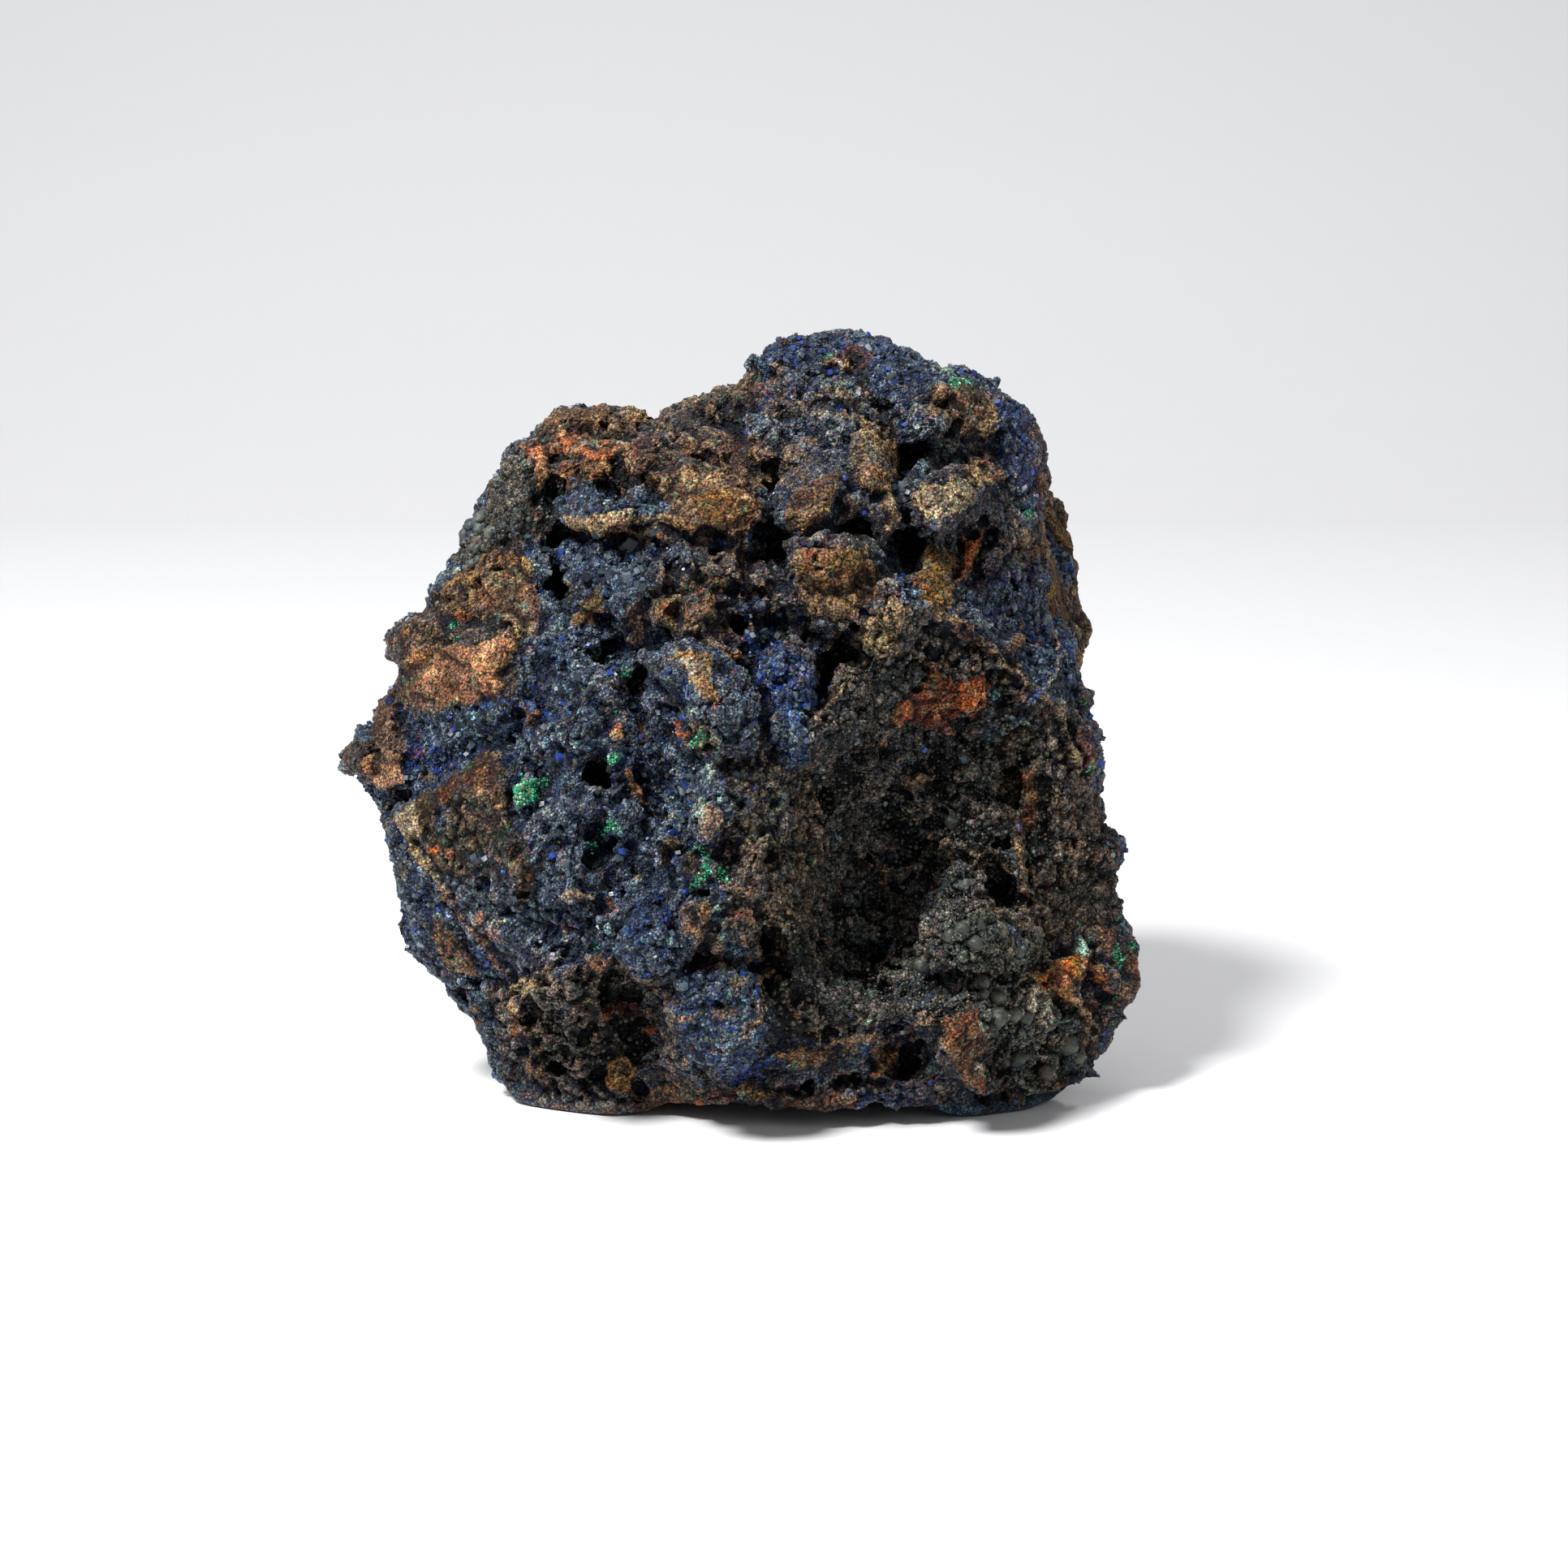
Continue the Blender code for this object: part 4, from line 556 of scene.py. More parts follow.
# Small spots and nodules: kind, strength, lift, x, y, radius x, radius y, and the turn in degrees if any.
SPOTS = [
    ("mint", 0.8, 0.1, 728, 546, 12, 5), ("cream", 0.9, 0.1, 768, 541, 5, 3),
    ("ochre", 0.6, 0, 632, 692, 18, 8), ("black", 0.8, -2.2, 676, 645, 9, 8),
    ("rust", 0.7, 0, 722, 648, 12, 5), ("teal", 0.6, 0, 808, 622, 8, 13), ("teal", 0.6, 0, 693, 645, 4, 8),
    ("umber", 0.8, 1.0, 850, 720, 17, 16), ("umber", 0.8, 0.4, 875, 505, 16, 10),
    ("black", 0.8, 0.6, 911, 504, 8, 8), ("umber", 0.8, 1.0, 962, 455, 14, 10),
    (None, 0, 0.8, 930, 450, 10, 10), ("rust", 0.4, 0, 935, 475, 25, 8, -10),
    ("rust", 0.4, 0, 925, 545, 28, 8), ("black", 0.8, -1.6, 962, 485, 6, 6),
    ("azure", 0.7, 0, 925, 527, 5, 5), ("azure", 0.7, 0, 1030, 507, 8, 4), ("azure", 0.6, 0, 975, 447, 5, 4),
    ("ochre", 0.8, 0, 1032, 515, 8, 4), ("ochre", 0.7, 0.8, 1030, 450, 20, 11),
    ("green", 0.8, 0, 1020, 446, 8, 5), ("cream", 0.8, 0, 1036, 452, 8, 4, 20),
    ("orange", 0.6, 0, 1046, 458, 5, 4), ("ochre", 0.7, 0.8, 942, 590, 12, 11),
    ("brown", 0.6, 0.5, 945, 560, 16, 10), ("umber", 0.6, 1.0, 860, 672, 12, 12),
    ("green", 0.7, 0.1, 1180, 470, 18, 5, 10), ("azurite", 0.8, 0.5, 1130, 570, 14, 8),
    ("rust", 0.6, 0, 1268, 512, 4, 6), ("green", 0.7, 0, 1268, 625, 4, 10), (None, 0, -1.6, 1290, 645, 6, 6),
    ("ochre", 0.7, 0.2, 572, 710, 26, 7, -14), ("orange", 0.8, 0.7, 568, 757, 9, 8),
    ("green", 0.9, 0, 595, 818, 5, 3), ("green", 0.9, 0, 583, 835, 4, 2), ("green", 0.8, 0, 587, 842, 6, 4),
    ("green", 0.45, 0, 560, 865, 10, 6), ("green", 0.8, 0, 563, 770, 7, 3),
    ("green", 0.8, 0, 560, 787, 5, 3), ("green", 0.7, 0, 505, 835, 5, 2), ("green", 0.7, 0, 522, 828, 5, 2),
    ("mint", 0.8, 0, 637, 750, 6, 3), ("mint", 0.7, 0, 610, 765, 3, 6), ("ochre", 0.6, 0, 535, 812, 15, 8),
    ("azure", 0.8, 0, 597, 866, 5, 5), ("ultramarine", 0.8, 0, 650, 870, 10, 6),
    ("ultramarine", 0.8, 0, 670, 880, 9, 7), ("ultramarine", 0.9, 0, 845, 845, 8, 18),
    ("mint", 0.8, 0.1, 850, 885, 10, 4), ("mint", 0.8, 0.1, 885, 920, 4, 12),
    ("mint", 0.7, 0.1, 875, 950, 6, 10), ("mint", 0.6, 0.1, 862, 1000, 7, 22),
    ("orange", 0.9, 0.1, 842, 897, 9, 4), ("green", 0.7, 0, 862, 912, 8, 9),
    ("chip", 0.9, 0.2, 792, 987, 6, 6), ("green", 0.9, 0, 779, 826, 5, 8),
    ("green", 1.0, 0.5, 756, 934, 8, 8), ("green", 0.8, 0, 765, 881, 4, 3),
    ("orange", 0.7, 0, 553, 1055, 7, 4), ("orange", 0.9, 0, 530, 1047, 6, 4),
    ("orange", 0.8, 0, 617, 993, 4, 4), ("orange", 0.8, 0, 602, 1150, 6, 4),
    ("green", 1.0, 1.0, 652, 972, 15, 20), ("green", 0.9, 0, 671, 962, 5, 7),
    ("green", 0.8, 0, 595, 1069, 4, 3), ("green", 1.0, 0.5, 749, 1012, 8, 8),
    ("green", 0.9, 0.3, 736, 1030, 5, 5), ("green", 0.9, 0.2, 731, 1042, 5, 6),
    ("ochre", 0.7, 0, 525, 955, 8, 4), ("cream", 0.9, 0, 615, 1128, 3, 3),
    ("cream", 0.9, 0, 563, 1184, 3, 3), ("mint", 0.7, 0, 672, 1003, 10, 3), ("mint", 0.7, 0, 705, 988, 8, 3),
    ("cream", 1.0, 0.3, 781, 1081, 8, 4, -30), ("green", 0.7, 0, 885, 1022, 6, 4),
    ("grit", 0.7, 1.0, 935, 1040, 18, 17), ("mint", 0.8, 0.2, 887, 1122, 7, 6),
    ("black", 0.8, -1.4, 868, 1105, 8, 4), ("black", 0.8, -1.5, 882, 1145, 7, 9),
    ("black", 0.9, -1.6, 955, 1050, 8, 8), ("black", 0.8, -1.4, 780, 1125, 6, 8),
    ("azure", 0.7, 0, 785, 1197, 10, 3), ("orange", 0.7, 0, 745, 1122, 8, 4),
    ("slate", 0.8, 0.7, 828, 1210, 12, 10), ("mint", 0.8, 0, 655, 1217, 8, 3),
    ("olive", 0.5, 1.0, 650, 1228, 12, 10), ("olive", 0.5, 1.0, 690, 1205, 22, 14),
    ("umber", 0.5, 1.0, 710, 1228, 16, 12), ("olive", 0.5, 1.0, 705, 1250, 14, 10),
    ("olive", 0.5, 1.0, 668, 1250, 12, 10), ("umber", 0.5, 1.0, 690, 1275, 14, 10),
    ("olive", 0.5, 1.0, 715, 1270, 10, 12), ("olive", 0.5, 1.0, 730, 1285, 14, 10),
    ("orange", 0.9, 0, 798, 1273, 6, 5), ("teal", 0.6, 0, 612, 1328, 8, 10),
    ("teal", 0.5, 0, 640, 1345, 8, 6), ("chip", 0.8, 0, 583, 1250, 8, 6), ("chip", 0.8, 0, 585, 1268, 6, 5),
    ("green", 0.7, 0, 738, 1167, 4, 4), ("tan", 0.6, 0.4, 945, 1200, 8, 8),
    ("mint", 0.8, 0.1, 909, 1182, 8, 5), ("green", 0.6, 0, 890, 1160, 4, 4),
    ("ultramarine", 0.8, 0, 925, 1192, 10, 7), ("ultramarine", 0.7, 0, 905, 1260, 12, 10),
    ("ochre", 0.6, 0, 910, 1205, 10, 7), ("ultramarine", 0.8, 0, 945, 1305, 10, 6),
    ("orange", 0.7, 0, 1005, 1305, 7, 5), ("mint", 0.8, 0, 975, 1315, 6, 4),
    ("orange", 0.9, 0, 860, 1360, 7, 3), ("mint", 0.7, 0, 912, 1349, 9, 3, -20),
    ("azure", 0.7, 0, 1072, 1293, 5, 2), ("orange", 0.7, 0, 1085, 1318, 6, 3),
    ("azure", 0.8, 0, 983, 825, 6, 5), ("ochre", 0.7, 0, 990, 832, 4, 3),
    ("orange", 0.6, 0.7, 1172, 903, 8, 7), ("orange", 0.6, 0, 1093, 913, 4, 6),
    ("tan", 0.6, 0, 1165, 758, 10, 6), ("cream", 0.9, 0, 1185, 933, 3, 2),
    ("teal", 0.5, 0, 1225, 900, 24, 9), ("teal", 0.5, 0, 1233, 860, 6, 18),
    ("black", 0.9, -2.0, 1025, 985, 12, 14), ("rust", 0.6, 0, 1265, 765, 4, 6),
    ("azure", 0.8, 0, 1278, 850, 4, 8), ("ultramarine", 0.8, 0, 1283, 785, 8, 12),
    ("ultramarine", 0.8, 0, 1315, 795, 12, 6), ("green", 0.7, 0, 1335, 825, 4, 5),
    ("green", 0.7, 0, 1334, 871, 6, 3), ("green", 0.7, 0, 1350, 945, 4, 5),
    ("olive", 0.5, 0.8, 1130, 1065, 12, 11), ("grit", 0.5, 0.7, 1110, 1075, 11, 10),
    ("black", 0.8, -1.4, 1085, 1180, 10, 9), ("azure", 0.7, 0, 1257, 1022, 3, 4),
    ("azure", 0.5, 0, 1190, 1085, 7, 4), ("azure", 0.7, 0, 1148, 1193, 4, 3),
    ("mint", 0.8, 0, 1075, 1260, 6, 4), ("mint", 0.8, 0, 1106, 1048, 2, 2),
    ("mint", 0.8, 0, 1205, 1175, 2, 2), ("ochre", 0.6, 0, 1140, 1258, 11, 5),
    ("mint", 0.8, 0.1, 1338, 1172, 5, 9, 10), ("cream", 0.8, 0, 1277, 1224, 4, 4),
    ("cream", 0.8, 0, 1290, 1218, 5, 4), ("green", 0.9, 0, 1376, 1172, 5, 14),
    ("green", 0.8, 0, 1395, 1160, 8, 4), ("green", 0.8, 0, 1372, 1228, 3, 4),
    ("teal", 0.6, 0, 1390, 1134, 5, 6), (None, 0, -1.2, 1385, 1146, 5, 5),
    ("green", 0.7, 0, 1372, 1265, 4, 4), ("ultramarine", 0.9, 0, 1368, 1270, 6, 5),
    ("ultramarine", 0.9, 0, 1361, 1281, 4, 6), ("mint", 0.6, 0, 1350, 1280, 5, 5),
    ("mint", 0.8, 0, 1219, 1265, 3, 6), ("cream", 0.8, 0, 1207, 1278, 3, 4),
    ("mint", 0.8, 0, 1202, 1292, 4, 3), ("mint", 0.8, 0, 1217, 1322, 3, 4),
    ("cream", 0.7, 0, 1207, 1315, 3, 4), ("mint", 0.8, 0, 1291, 1257, 3, 2),
    ("mint", 0.8, 0, 1284, 1243, 3, 2), ("mint", 0.8, 0, 1312, 1250, 3, 2),
    ("ultramarine", 0.8, 0, 1248, 1311, 8, 3), ("mint", 0.7, 0, 1265, 1340, 6, 3),
    ("rust", 0.6, 0, 715, 1110, 5, 4),
]

# Bubbles of iron oxide on the front: x, y, radius.
BUBBLES = [
    (566, 654, 7), (572, 645, 8), (583, 637, 9), (598, 650, 12), (586, 655, 9), (578, 662, 9), (590, 668, 6),
    (575, 672, 7), (584, 674, 5), (563, 660, 6), (575, 688, 7), (582, 684, 7), (572, 692, 6),
    (1173, 1012, 10), (1180, 1137, 10), (1164, 1160, 9), (1198, 1170, 10), (1214, 1136, 11),
    (1240, 1150, 10), (1262, 1168, 9), (1203, 1205, 9), (1210, 1214, 9), (1220, 1223, 9), (1231, 1229, 8),
    (1240, 1226, 7), (1240, 1242, 11), (1252, 1252, 10), (1236, 1262, 10), (1264, 1262, 9), (1130, 1187, 11),
    (1112, 1182, 8), (1092, 1212, 8), (1322, 1288, 15), (1334, 1300, 11), (1306, 1300, 10), (1262, 1300, 11),
    (1246, 1312, 9), (1288, 1322, 10), (1182, 1084, 8),
]

# Larger azurite crystals on the front: x, y, size.
LARGE_CRYSTALS = [
    (775, 666, 15), (765, 672, 11), (768, 712, 11), (748, 706, 10), (735, 702, 9), (722, 705, 9),
    (780, 715, 8), (800, 658, 10), (730, 664, 9), (795, 718, 9), (937, 788, 8), (945, 776, 8), (925, 780, 7),
    (583, 1058, 10), (592, 1062, 8), (602, 1064, 7), (1085, 440, 9), (1100, 446, 9), (1115, 438, 8),
    (1130, 452, 9), (1145, 446, 7), (1095, 458, 8), (975, 426, 8), (990, 432, 8), (655, 905, 8),
    (668, 892, 9), (690, 850, 10), (708, 838, 9), (675, 935, 9), (560, 890, 9), (575, 896, 8), (590, 885, 8),
    (700, 690, 8), (712, 682, 9), (690, 676, 8), (1282, 760, 9), (1295, 775, 8), (1308, 750, 8),
    (760, 1060, 9), (772, 1052, 8), (700, 1060, 9), (688, 1048, 8), (712, 1072, 8), (780, 700, 8),
    (790, 688, 9), (660, 1010, 8), (840, 1216, 8), (826, 1206, 9),
]

# The front's pieces, from left to right: name, and from where to where it reaches across (mm).
FRONT_PIECES = [
    ("rock_front_left", -99.0, -11.0), ("rock_front_middle", -11.0, 15.0), ("rock_front_right", 15.0, 99.0),
]

# The hollow, as a round form: (x, y, radius x, radius y).
HOLLOW = (1165, 1070, 205, 240)

# What crystals and beads are coloured: (share, colour).
CRYSTAL_COLOURS = [(5, (26, 33, 44)), (1.5, (28, 52, 116)), (4, (52, 63, 72)), (1, (84, 94, 100))]
GREEN_COLOURS = [(3, (20, 110, 76)), (2, (40, 140, 104)), (1, (120, 190, 160))]
BEAD_COLOURS = [(4, (20, 20, 18)), (6, (46, 48, 43)), (3, (72, 69, 60)), (1, (84, 60, 42)),
    (0.4, (96, 98, 92))]
BUBBLE_COLOURS = [(4, (50, 54, 48)), (2, (68, 71, 63)), (1, (66, 60, 48))]

# Stray grains and small patches: (from, to, kind, strength), as shares of all grains there.
STREWN_ON_BLUE = [
    (0.0, 0.05, "ultramarine", 0.8), (0.05, 0.25, "slate", 0.8), (0.25, 0.42, "black", 0.8),
    (0.42, 0.49, "umber", 0.7),
    (0.49, 0.505, "rust", 0.7), (0.505, 0.52, "teal", 0.7), (0.52, 0.53, "ochre", 0.6),
    (0.53, 0.54, "olive", 0.7), (0.54, 0.545, "mint", 0.5),
]
STREWN_ON_BROWN = [
    (0.0, 0.07, "ochre", 0.5), (0.07, 0.25, "umber", 0.7), (0.25, 0.31, "rust", 0.5),
    (0.31, 0.36, "tan", 0.4),
    (0.36, 0.48, "black", 0.6), (0.48, 0.53, "slate", 0.6), (0.53, 0.55, "green", 0.5),
    (0.55, 0.58, "maroon", 0.6),
    (0.58, 0.64, "olive", 0.6),
]

# How dark each kind is under the hollow's beads.
UNDER_BEADS = {"black": 1.0, "soot": 1.0, "bubbly": 0.5, "olive": 1.0, "grit": 0.7}

# Soft white lamps: name, place (m), size (m), power (W).
LAMPS = [
    ("key", (-0.32, -0.34, 0.66), 0.20, 12.0),
    ("fill", (0.6, -0.5, 0.5), 0.6, 1.2),
    ("back", (0.0, 0.35, 0.9), 0.5, 2.6),
]
LAMPS_AIM = (0.0, 0.0, 0.04)
SURROUNDINGS = (0.97, 0.985, 1.0, 1.0)
SURROUNDINGS_STRENGTH = 0.30

# The floor and the backdrop that it curves up into (m).
FLOOR_COLOUR = (0.80, 0.80, 0.81, 1.0)
FLOOR_HALF_WIDTH = 2.5
FLOOR_NEAR, FLOOR_FAR = -1.5, 0.55
BACKDROP_RADIUS, BACKDROP_TOP = 0.5, 2.0

# A blunt crystal standing on z 0: four-sided, narrower and skewed at its top.
CRYSTAL_POINTS = np.array([
    (-0.5, -0.5, -0.35), (0.5, -0.5, -0.35), (0.5, 0.5, -0.35), (-0.5, 0.5, -0.35),
    (-0.48, -0.40, 0.55), (0.40, -0.44, 0.42), (0.34, 0.38, 0.70), (-0.42, 0.46, 0.78),
])
CRYSTAL_FACES = np.array([
    (3, 2, 1, 0), (0, 1, 5, 4), (1, 2, 6, 5), (2, 3, 7, 6), (3, 0, 4, 7), (4, 5, 6, 7),
])


def smoothstep(low, high, x):
    t = np.clip((x - low) / (high - low), 0.0, 1.0)
    return t * t * (3.0 - 2.0 * t)


def linear(colour):
    """A colour out of 255 as the shader takes it."""
    c = np.asarray(colour, float) / 255.0
    return np.where(c <= 0.04045, c / 12.92, ((c + 0.055) / 1.055) ** 2.4)


def scrambled(cells, salt):
    """64 mixed-up bits for each whole-numbered cell."""
    x, y, z = (cells[..., i].astype(np.uint64) for i in range(3))
    h = x * np.uint64(0x9E3779B97F4A7C15) ^ y * np.uint64(0xC2B2AE3D27D4EB4F)
    h ^= z * np.uint64(0x165667B19E3779F9)
    h += np.uint64(salt * 0x27D4EB2F165667C5 & 0xFFFFFFFFFFFFFFFF)
    h = (h ^ (h >> np.uint64(30))) * np.uint64(0xBF58476D1CE4E5B9)
    h = (h ^ (h >> np.uint64(27))) * np.uint64(0x94D049BB133111EB)
    return h ^ (h >> np.uint64(31))


def random_part(bits, which):
    """An even random number from 0 to 1 from one of four parts of these bits."""
    return ((bits >> np.uint64(16 * which)) & np.uint64(0xFFFF)).astype(np.float32) / np.float32(65536.0)


def noise_at(points, scale, salt):
    """Smooth noise from -1 to 1 with forms of this size."""
    p = points / scale + 1000.0
    base = np.floor(p).astype(np.int64)
    f = (p - base).astype(np.float32)
    f = f * f * f * (f * (f * 6.0 - 15.0) + 10.0)
    sides = (1.0 - f, f)
    out = np.zeros(len(p), np.float32)
    for x in (0, 1):
        for y in (0, 1):
            for z in (0, 1):
                weight = sides[x][:, 0] * sides[y][:, 1] * sides[z][:, 2]
                out += weight * random_part(scrambled(base + (x, y, z), salt), 0)
    return 2.0 * out - 1.0


def fractal(points, scale, octaves, salt):
    """Noise of this size and its halves, about -1 to 1."""
    out, weight, total = np.zeros(len(points)), 1.0, 0.0
    for octave in range(octaves):
        out += weight * noise_at(points, scale / 2**octave, salt + octave)
        total += weight
        weight *= 0.55
    return out / total * 1.6


def bent(points, size, octaves, salt):
    """Noise of this size in each of the three directions."""
    return np.stack([fractal(points, size, octaves, salt + 10 * k) for k in range(3)], 1)


def cells_at(points, size, salt):
    """For cells of this size: how far to the nearest middle, to the next, and the nearest's own number."""
    p = points / size + 1000.0
    base = np.floor(p).astype(np.int64)
    within = (p - base).astype(np.float32)
    near = np.full(len(p), 81.0, np.float32)
    following = np.full(len(p), 81.0, np.float32)
    own = np.zeros(len(p), np.float32)
    for x in (-1, 0, 1):
        for y in (-1, 0, 1):
            for z in (-1, 0, 1):
                bits = scrambled(base + (x, y, z), salt)
                off = [random_part(bits, k) + (step - within[:, k]) for k, step in enumerate((x, y, z))]
                away = sum(each**2 for each in off)
                closer = away < near
                following = np.where(closer, near, np.minimum(following, away))
                own = np.where(closer, random_part(bits, 3), own)
                near = np.where(closer, away, near)
    return np.sqrt(near), np.sqrt(following), own


def seen(points):
    """Where the camera sees these points, as (x, y, w): w is the nearness in millimetres."""
    x, y, z = (points - (CENTRE_X, CENTRE_Y, FOOT_BELOW_MIDDLE)).T
    up = z * math.cos(VIEW_TILT) + y * math.sin(VIEW_TILT)
    w = z * math.sin(VIEW_TILT) - y * math.cos(VIEW_TILT)
    nearer = (VIEW_DISTANCE - w) / VIEW_DISTANCE
    u = AXIS_U + (x - AXIS_U) / nearer
    v = AXIS_V + (up + MIDDLE_V - AXIS_V) / nearer
    return ZERO_X + PER_MM * u, ZERO_Y - PER_MM * v, w


def towards_camera():
    """The direction from the lump to the camera."""
    return np.array([0.0, -math.cos(VIEW_TILT), math.sin(VIEW_TILT)])


def frontness(points):
    """1 on the side that the camera sees, 0 behind the outline."""
    _, y, w = seen(points)
    v = (ZERO_Y - y) / PER_MM
    return smoothstep(FRONT_FROM, FRONT_TO, w + LEAN_BACK * (v - MIDDLE_V))


def out_of_round(x, y, at_x, at_y, radius_x, radius_y, turn=0.0):
    """How far from the middle of a round form each place is, squared: 1 on its edge."""
    c, s = math.cos(math.radians(turn)), math.sin(math.radians(turn))
    across = ((x - at_x) * c + (y - at_y) * s) / radius_x
    along = ((y - at_y) * c - (x - at_x) * s) / radius_y
    return across**2 + along**2


def distance_to_line(x, y, points):
    here = np.stack([x, y], 1)
    best = np.full(len(x), 1e9)
    for start, end in zip(points[:-1], points[1:]):
        start, run = np.array(start, float), np.subtract(end, start).astype(float)
        share = np.clip((here - start) @ run / (run @ run), 0.0, 1.0)
        best = np.minimum(best, np.linalg.norm(here - start - share[:, None] * run, axis=1))
    return best


def pairs(line):
    """A line given as x, y, x, y... as its points."""
    return np.reshape(line, (-1, 2)).astype(float)


def inside_by(x, y, corners):
    """How far inside a closed outline each place is, negative outside (picture units)."""
    within = np.zeros(len(x), bool)
    for (ax, ay), (bx, by) in zip(corners, np.roll(corners, -1, axis=0)):
        if ay != by:
            within ^= ((ay > y) != (by > y)) & (x < ax + (y - ay) * (bx - ax) / (by - ay))
    away = distance_to_line(x, y, [*corners, corners[0]])
    return np.where(within, away, -away)


def near_form(x, y, front, low, high, margin):
    """Which points of the front lie within this box and its margin."""
    close = (front > 0.0) & (x > low[0] - margin) & (x < high[0] + margin)
    close &= (y > low[1] - margin) & (y < high[1] + margin)
    return np.nonzero(close)[0]


def front_forms(points, front, ragged):
    """Each patch, line and spot of the front in turn: its kind, strength and lift, which points it touches,
    how far inside it they are (picture units), and how wide its edge is."""
    x, y, _ = seen(points)
    x = x + sum(r * ragged * noise_at(points, scale, 20 + i) for i, (r, scale) in enumerate(RAGGED))
    y = y + sum(r * ragged * noise_at(points, scale, 30 + i) for i, (r, scale) in enumerate(RAGGED))
    for kind, strength, lift, line in REGIONS:
        corners = pairs(line)
        where = near_form(x, y, front, corners.min(0), corners.max(0), REGION_MARGIN)
        yield kind, strength, lift, where, inside_by(x[where], y[where], corners), PLATE_EDGE
    for kind, strength, lift, half_width, line in LINES:
        corners = pairs(line)
        where = near_form(x, y, front, corners.min(0), corners.max(0), 2.0 * half_width)
        away = distance_to_line(x[where], y[where], corners)
        yield kind, strength, lift, where, half_width - away, half_width
    for kind, strength, lift, *form in SPOTS:
        middle, radius, small = np.array(form[:2]), max(form[2:4]), min(form[2:4])
        where = near_form(x, y, front, middle - radius, middle + radius, SPOT_MARGIN)
        out = np.sqrt(out_of_round(x[where], y[where], *form))
        yield kind, strength, lift, where, small * (1.0 - out), small


def points_of(mesh):
    out = np.empty(len(mesh.vertices) * 3, np.float32)
    mesh.vertices.foreach_get("co", out)
    return out.reshape(-1, 3).astype(float) / MM


def faces_of(mesh):
    """The four corners of each face."""
    out = np.empty(len(mesh.polygons) * 4, np.int32)
    mesh.polygons.foreach_get("vertices", out)
    return out.reshape(-1, 4)


def across_faces(points, faces):
    """Each four-cornered face's direction, as long as twice its area."""
    return np.cross(points[faces[:, 2]] - points[faces[:, 0]], points[faces[:, 3]] - points[faces[:, 1]])


def blurred(values, faces, rounds):
    """Values at vertices, evened out between neighbours."""
    count = len(values)
    ends = np.concatenate([faces[:, [i, (i + 1) % faces.shape[1]]] for i in range(faces.shape[1])])
    share = np.bincount(ends[:, 0], minlength=count).astype(float)
    flat = values.reshape(count, -1).astype(float)
    for _ in range(rounds):
        for column in range(flat.shape[1]):
            total = np.bincount(ends[:, 0], weights=flat[ends[:, 1], column], minlength=count)
            flat[:, column] = 0.5 * flat[:, column] + 0.5 * total / np.maximum(share, 1.0)
    return flat.reshape(values.shape)


def normals_of(points, faces):
    """Each vertex's outward direction, evened out a little."""
    normal = across_faces(points, faces)
    out = np.zeros_like(points)
    for corner in range(faces.shape[1]):
        np.add.at(out, faces[:, corner], normal)
    out = blurred(out, faces, 2)
    return out / np.maximum(np.linalg.norm(out, axis=1), 1e-9)[:, None]


def sunk_by(points, faces, rounds):
    """How far each point is sunk below its neighbours (mm)."""
    return ((blurred(points, faces, rounds) - points) * normals_of(points, faces)).sum(1)


def remeshed(mesh, voxel, smoothing):
    """An even mesh of this shape, then smoothed this many times: (points, faces). The mesh itself goes."""
    obj = bpy.data.objects.new("skin", mesh)
    bpy.context.scene.collection.objects.link(obj)
    even = obj.modifiers.new("Even", "REMESH")
    even.mode = "VOXEL"
    even.voxel_size = voxel * MM
    soft = obj.modifiers.new("Soft", "SMOOTH")
    soft.factor = 0.5
    soft.iterations = smoothing
    made = obj.evaluated_get(bpy.context.evaluated_depsgraph_get()).to_mesh()
    points, faces = points_of(made), faces_of(made)
    bpy.data.objects.remove(obj)
    bpy.data.meshes.remove(mesh)
    return points, faces


def mesh_from(name, points, faces, smooth=False):
    """A mesh of these points (mm) and faces."""
    mesh = bpy.data.meshes.new(name)
    corners = faces.shape[1]
    mesh.vertices.add(len(points))
    mesh.vertices.foreach_set("co", (points * MM).astype(np.float32).ravel())
    mesh.loops.add(faces.size)
    mesh.loops.foreach_set("vertex_index", faces.astype(np.int32).ravel())
    mesh.polygons.add(len(faces))
    mesh.polygons.foreach_set("loop_start", np.arange(0, faces.size, corners, dtype=np.int32))
    mesh.update(calc_edges=True)
    mesh.polygons.foreach_set("use_smooth", np.full(len(faces), smooth))
    mesh.validate()
    return mesh


def lay(weights, kind, share, where=slice(None)):
    """Lays this share of one kind over what is there."""
    weights[where] *= (1.0 - share)[:, None]
    weights[where, KIND_NAMES.index(kind)] += share


def lay_strewn(points, weights):
    """Covers the sides and the back with patches of the same kinds as the front."""
    moved = points + WANDER * bent(points, WANDER_SIZE, 3, 50)
    _, _, own = cells_at(moved, BROAD_CELL, 71)
    for kind, low, high in BROAD_PATCHES:
        lay(weights, kind, ((own >= low) & (own < high)) * 0.9)
    lay(weights, "brown", 0.8 * smoothstep(0.25, 0.6, fractal(points, BROWN_FIELD, 3, 81)))
    _, _, own = cells_at(moved, SMALL_CELL, 91)
    for kind, low, high in SMALL_PATCHES:
        lay(weights, kind, ((own >= low) & (own < high)) * 0.85)


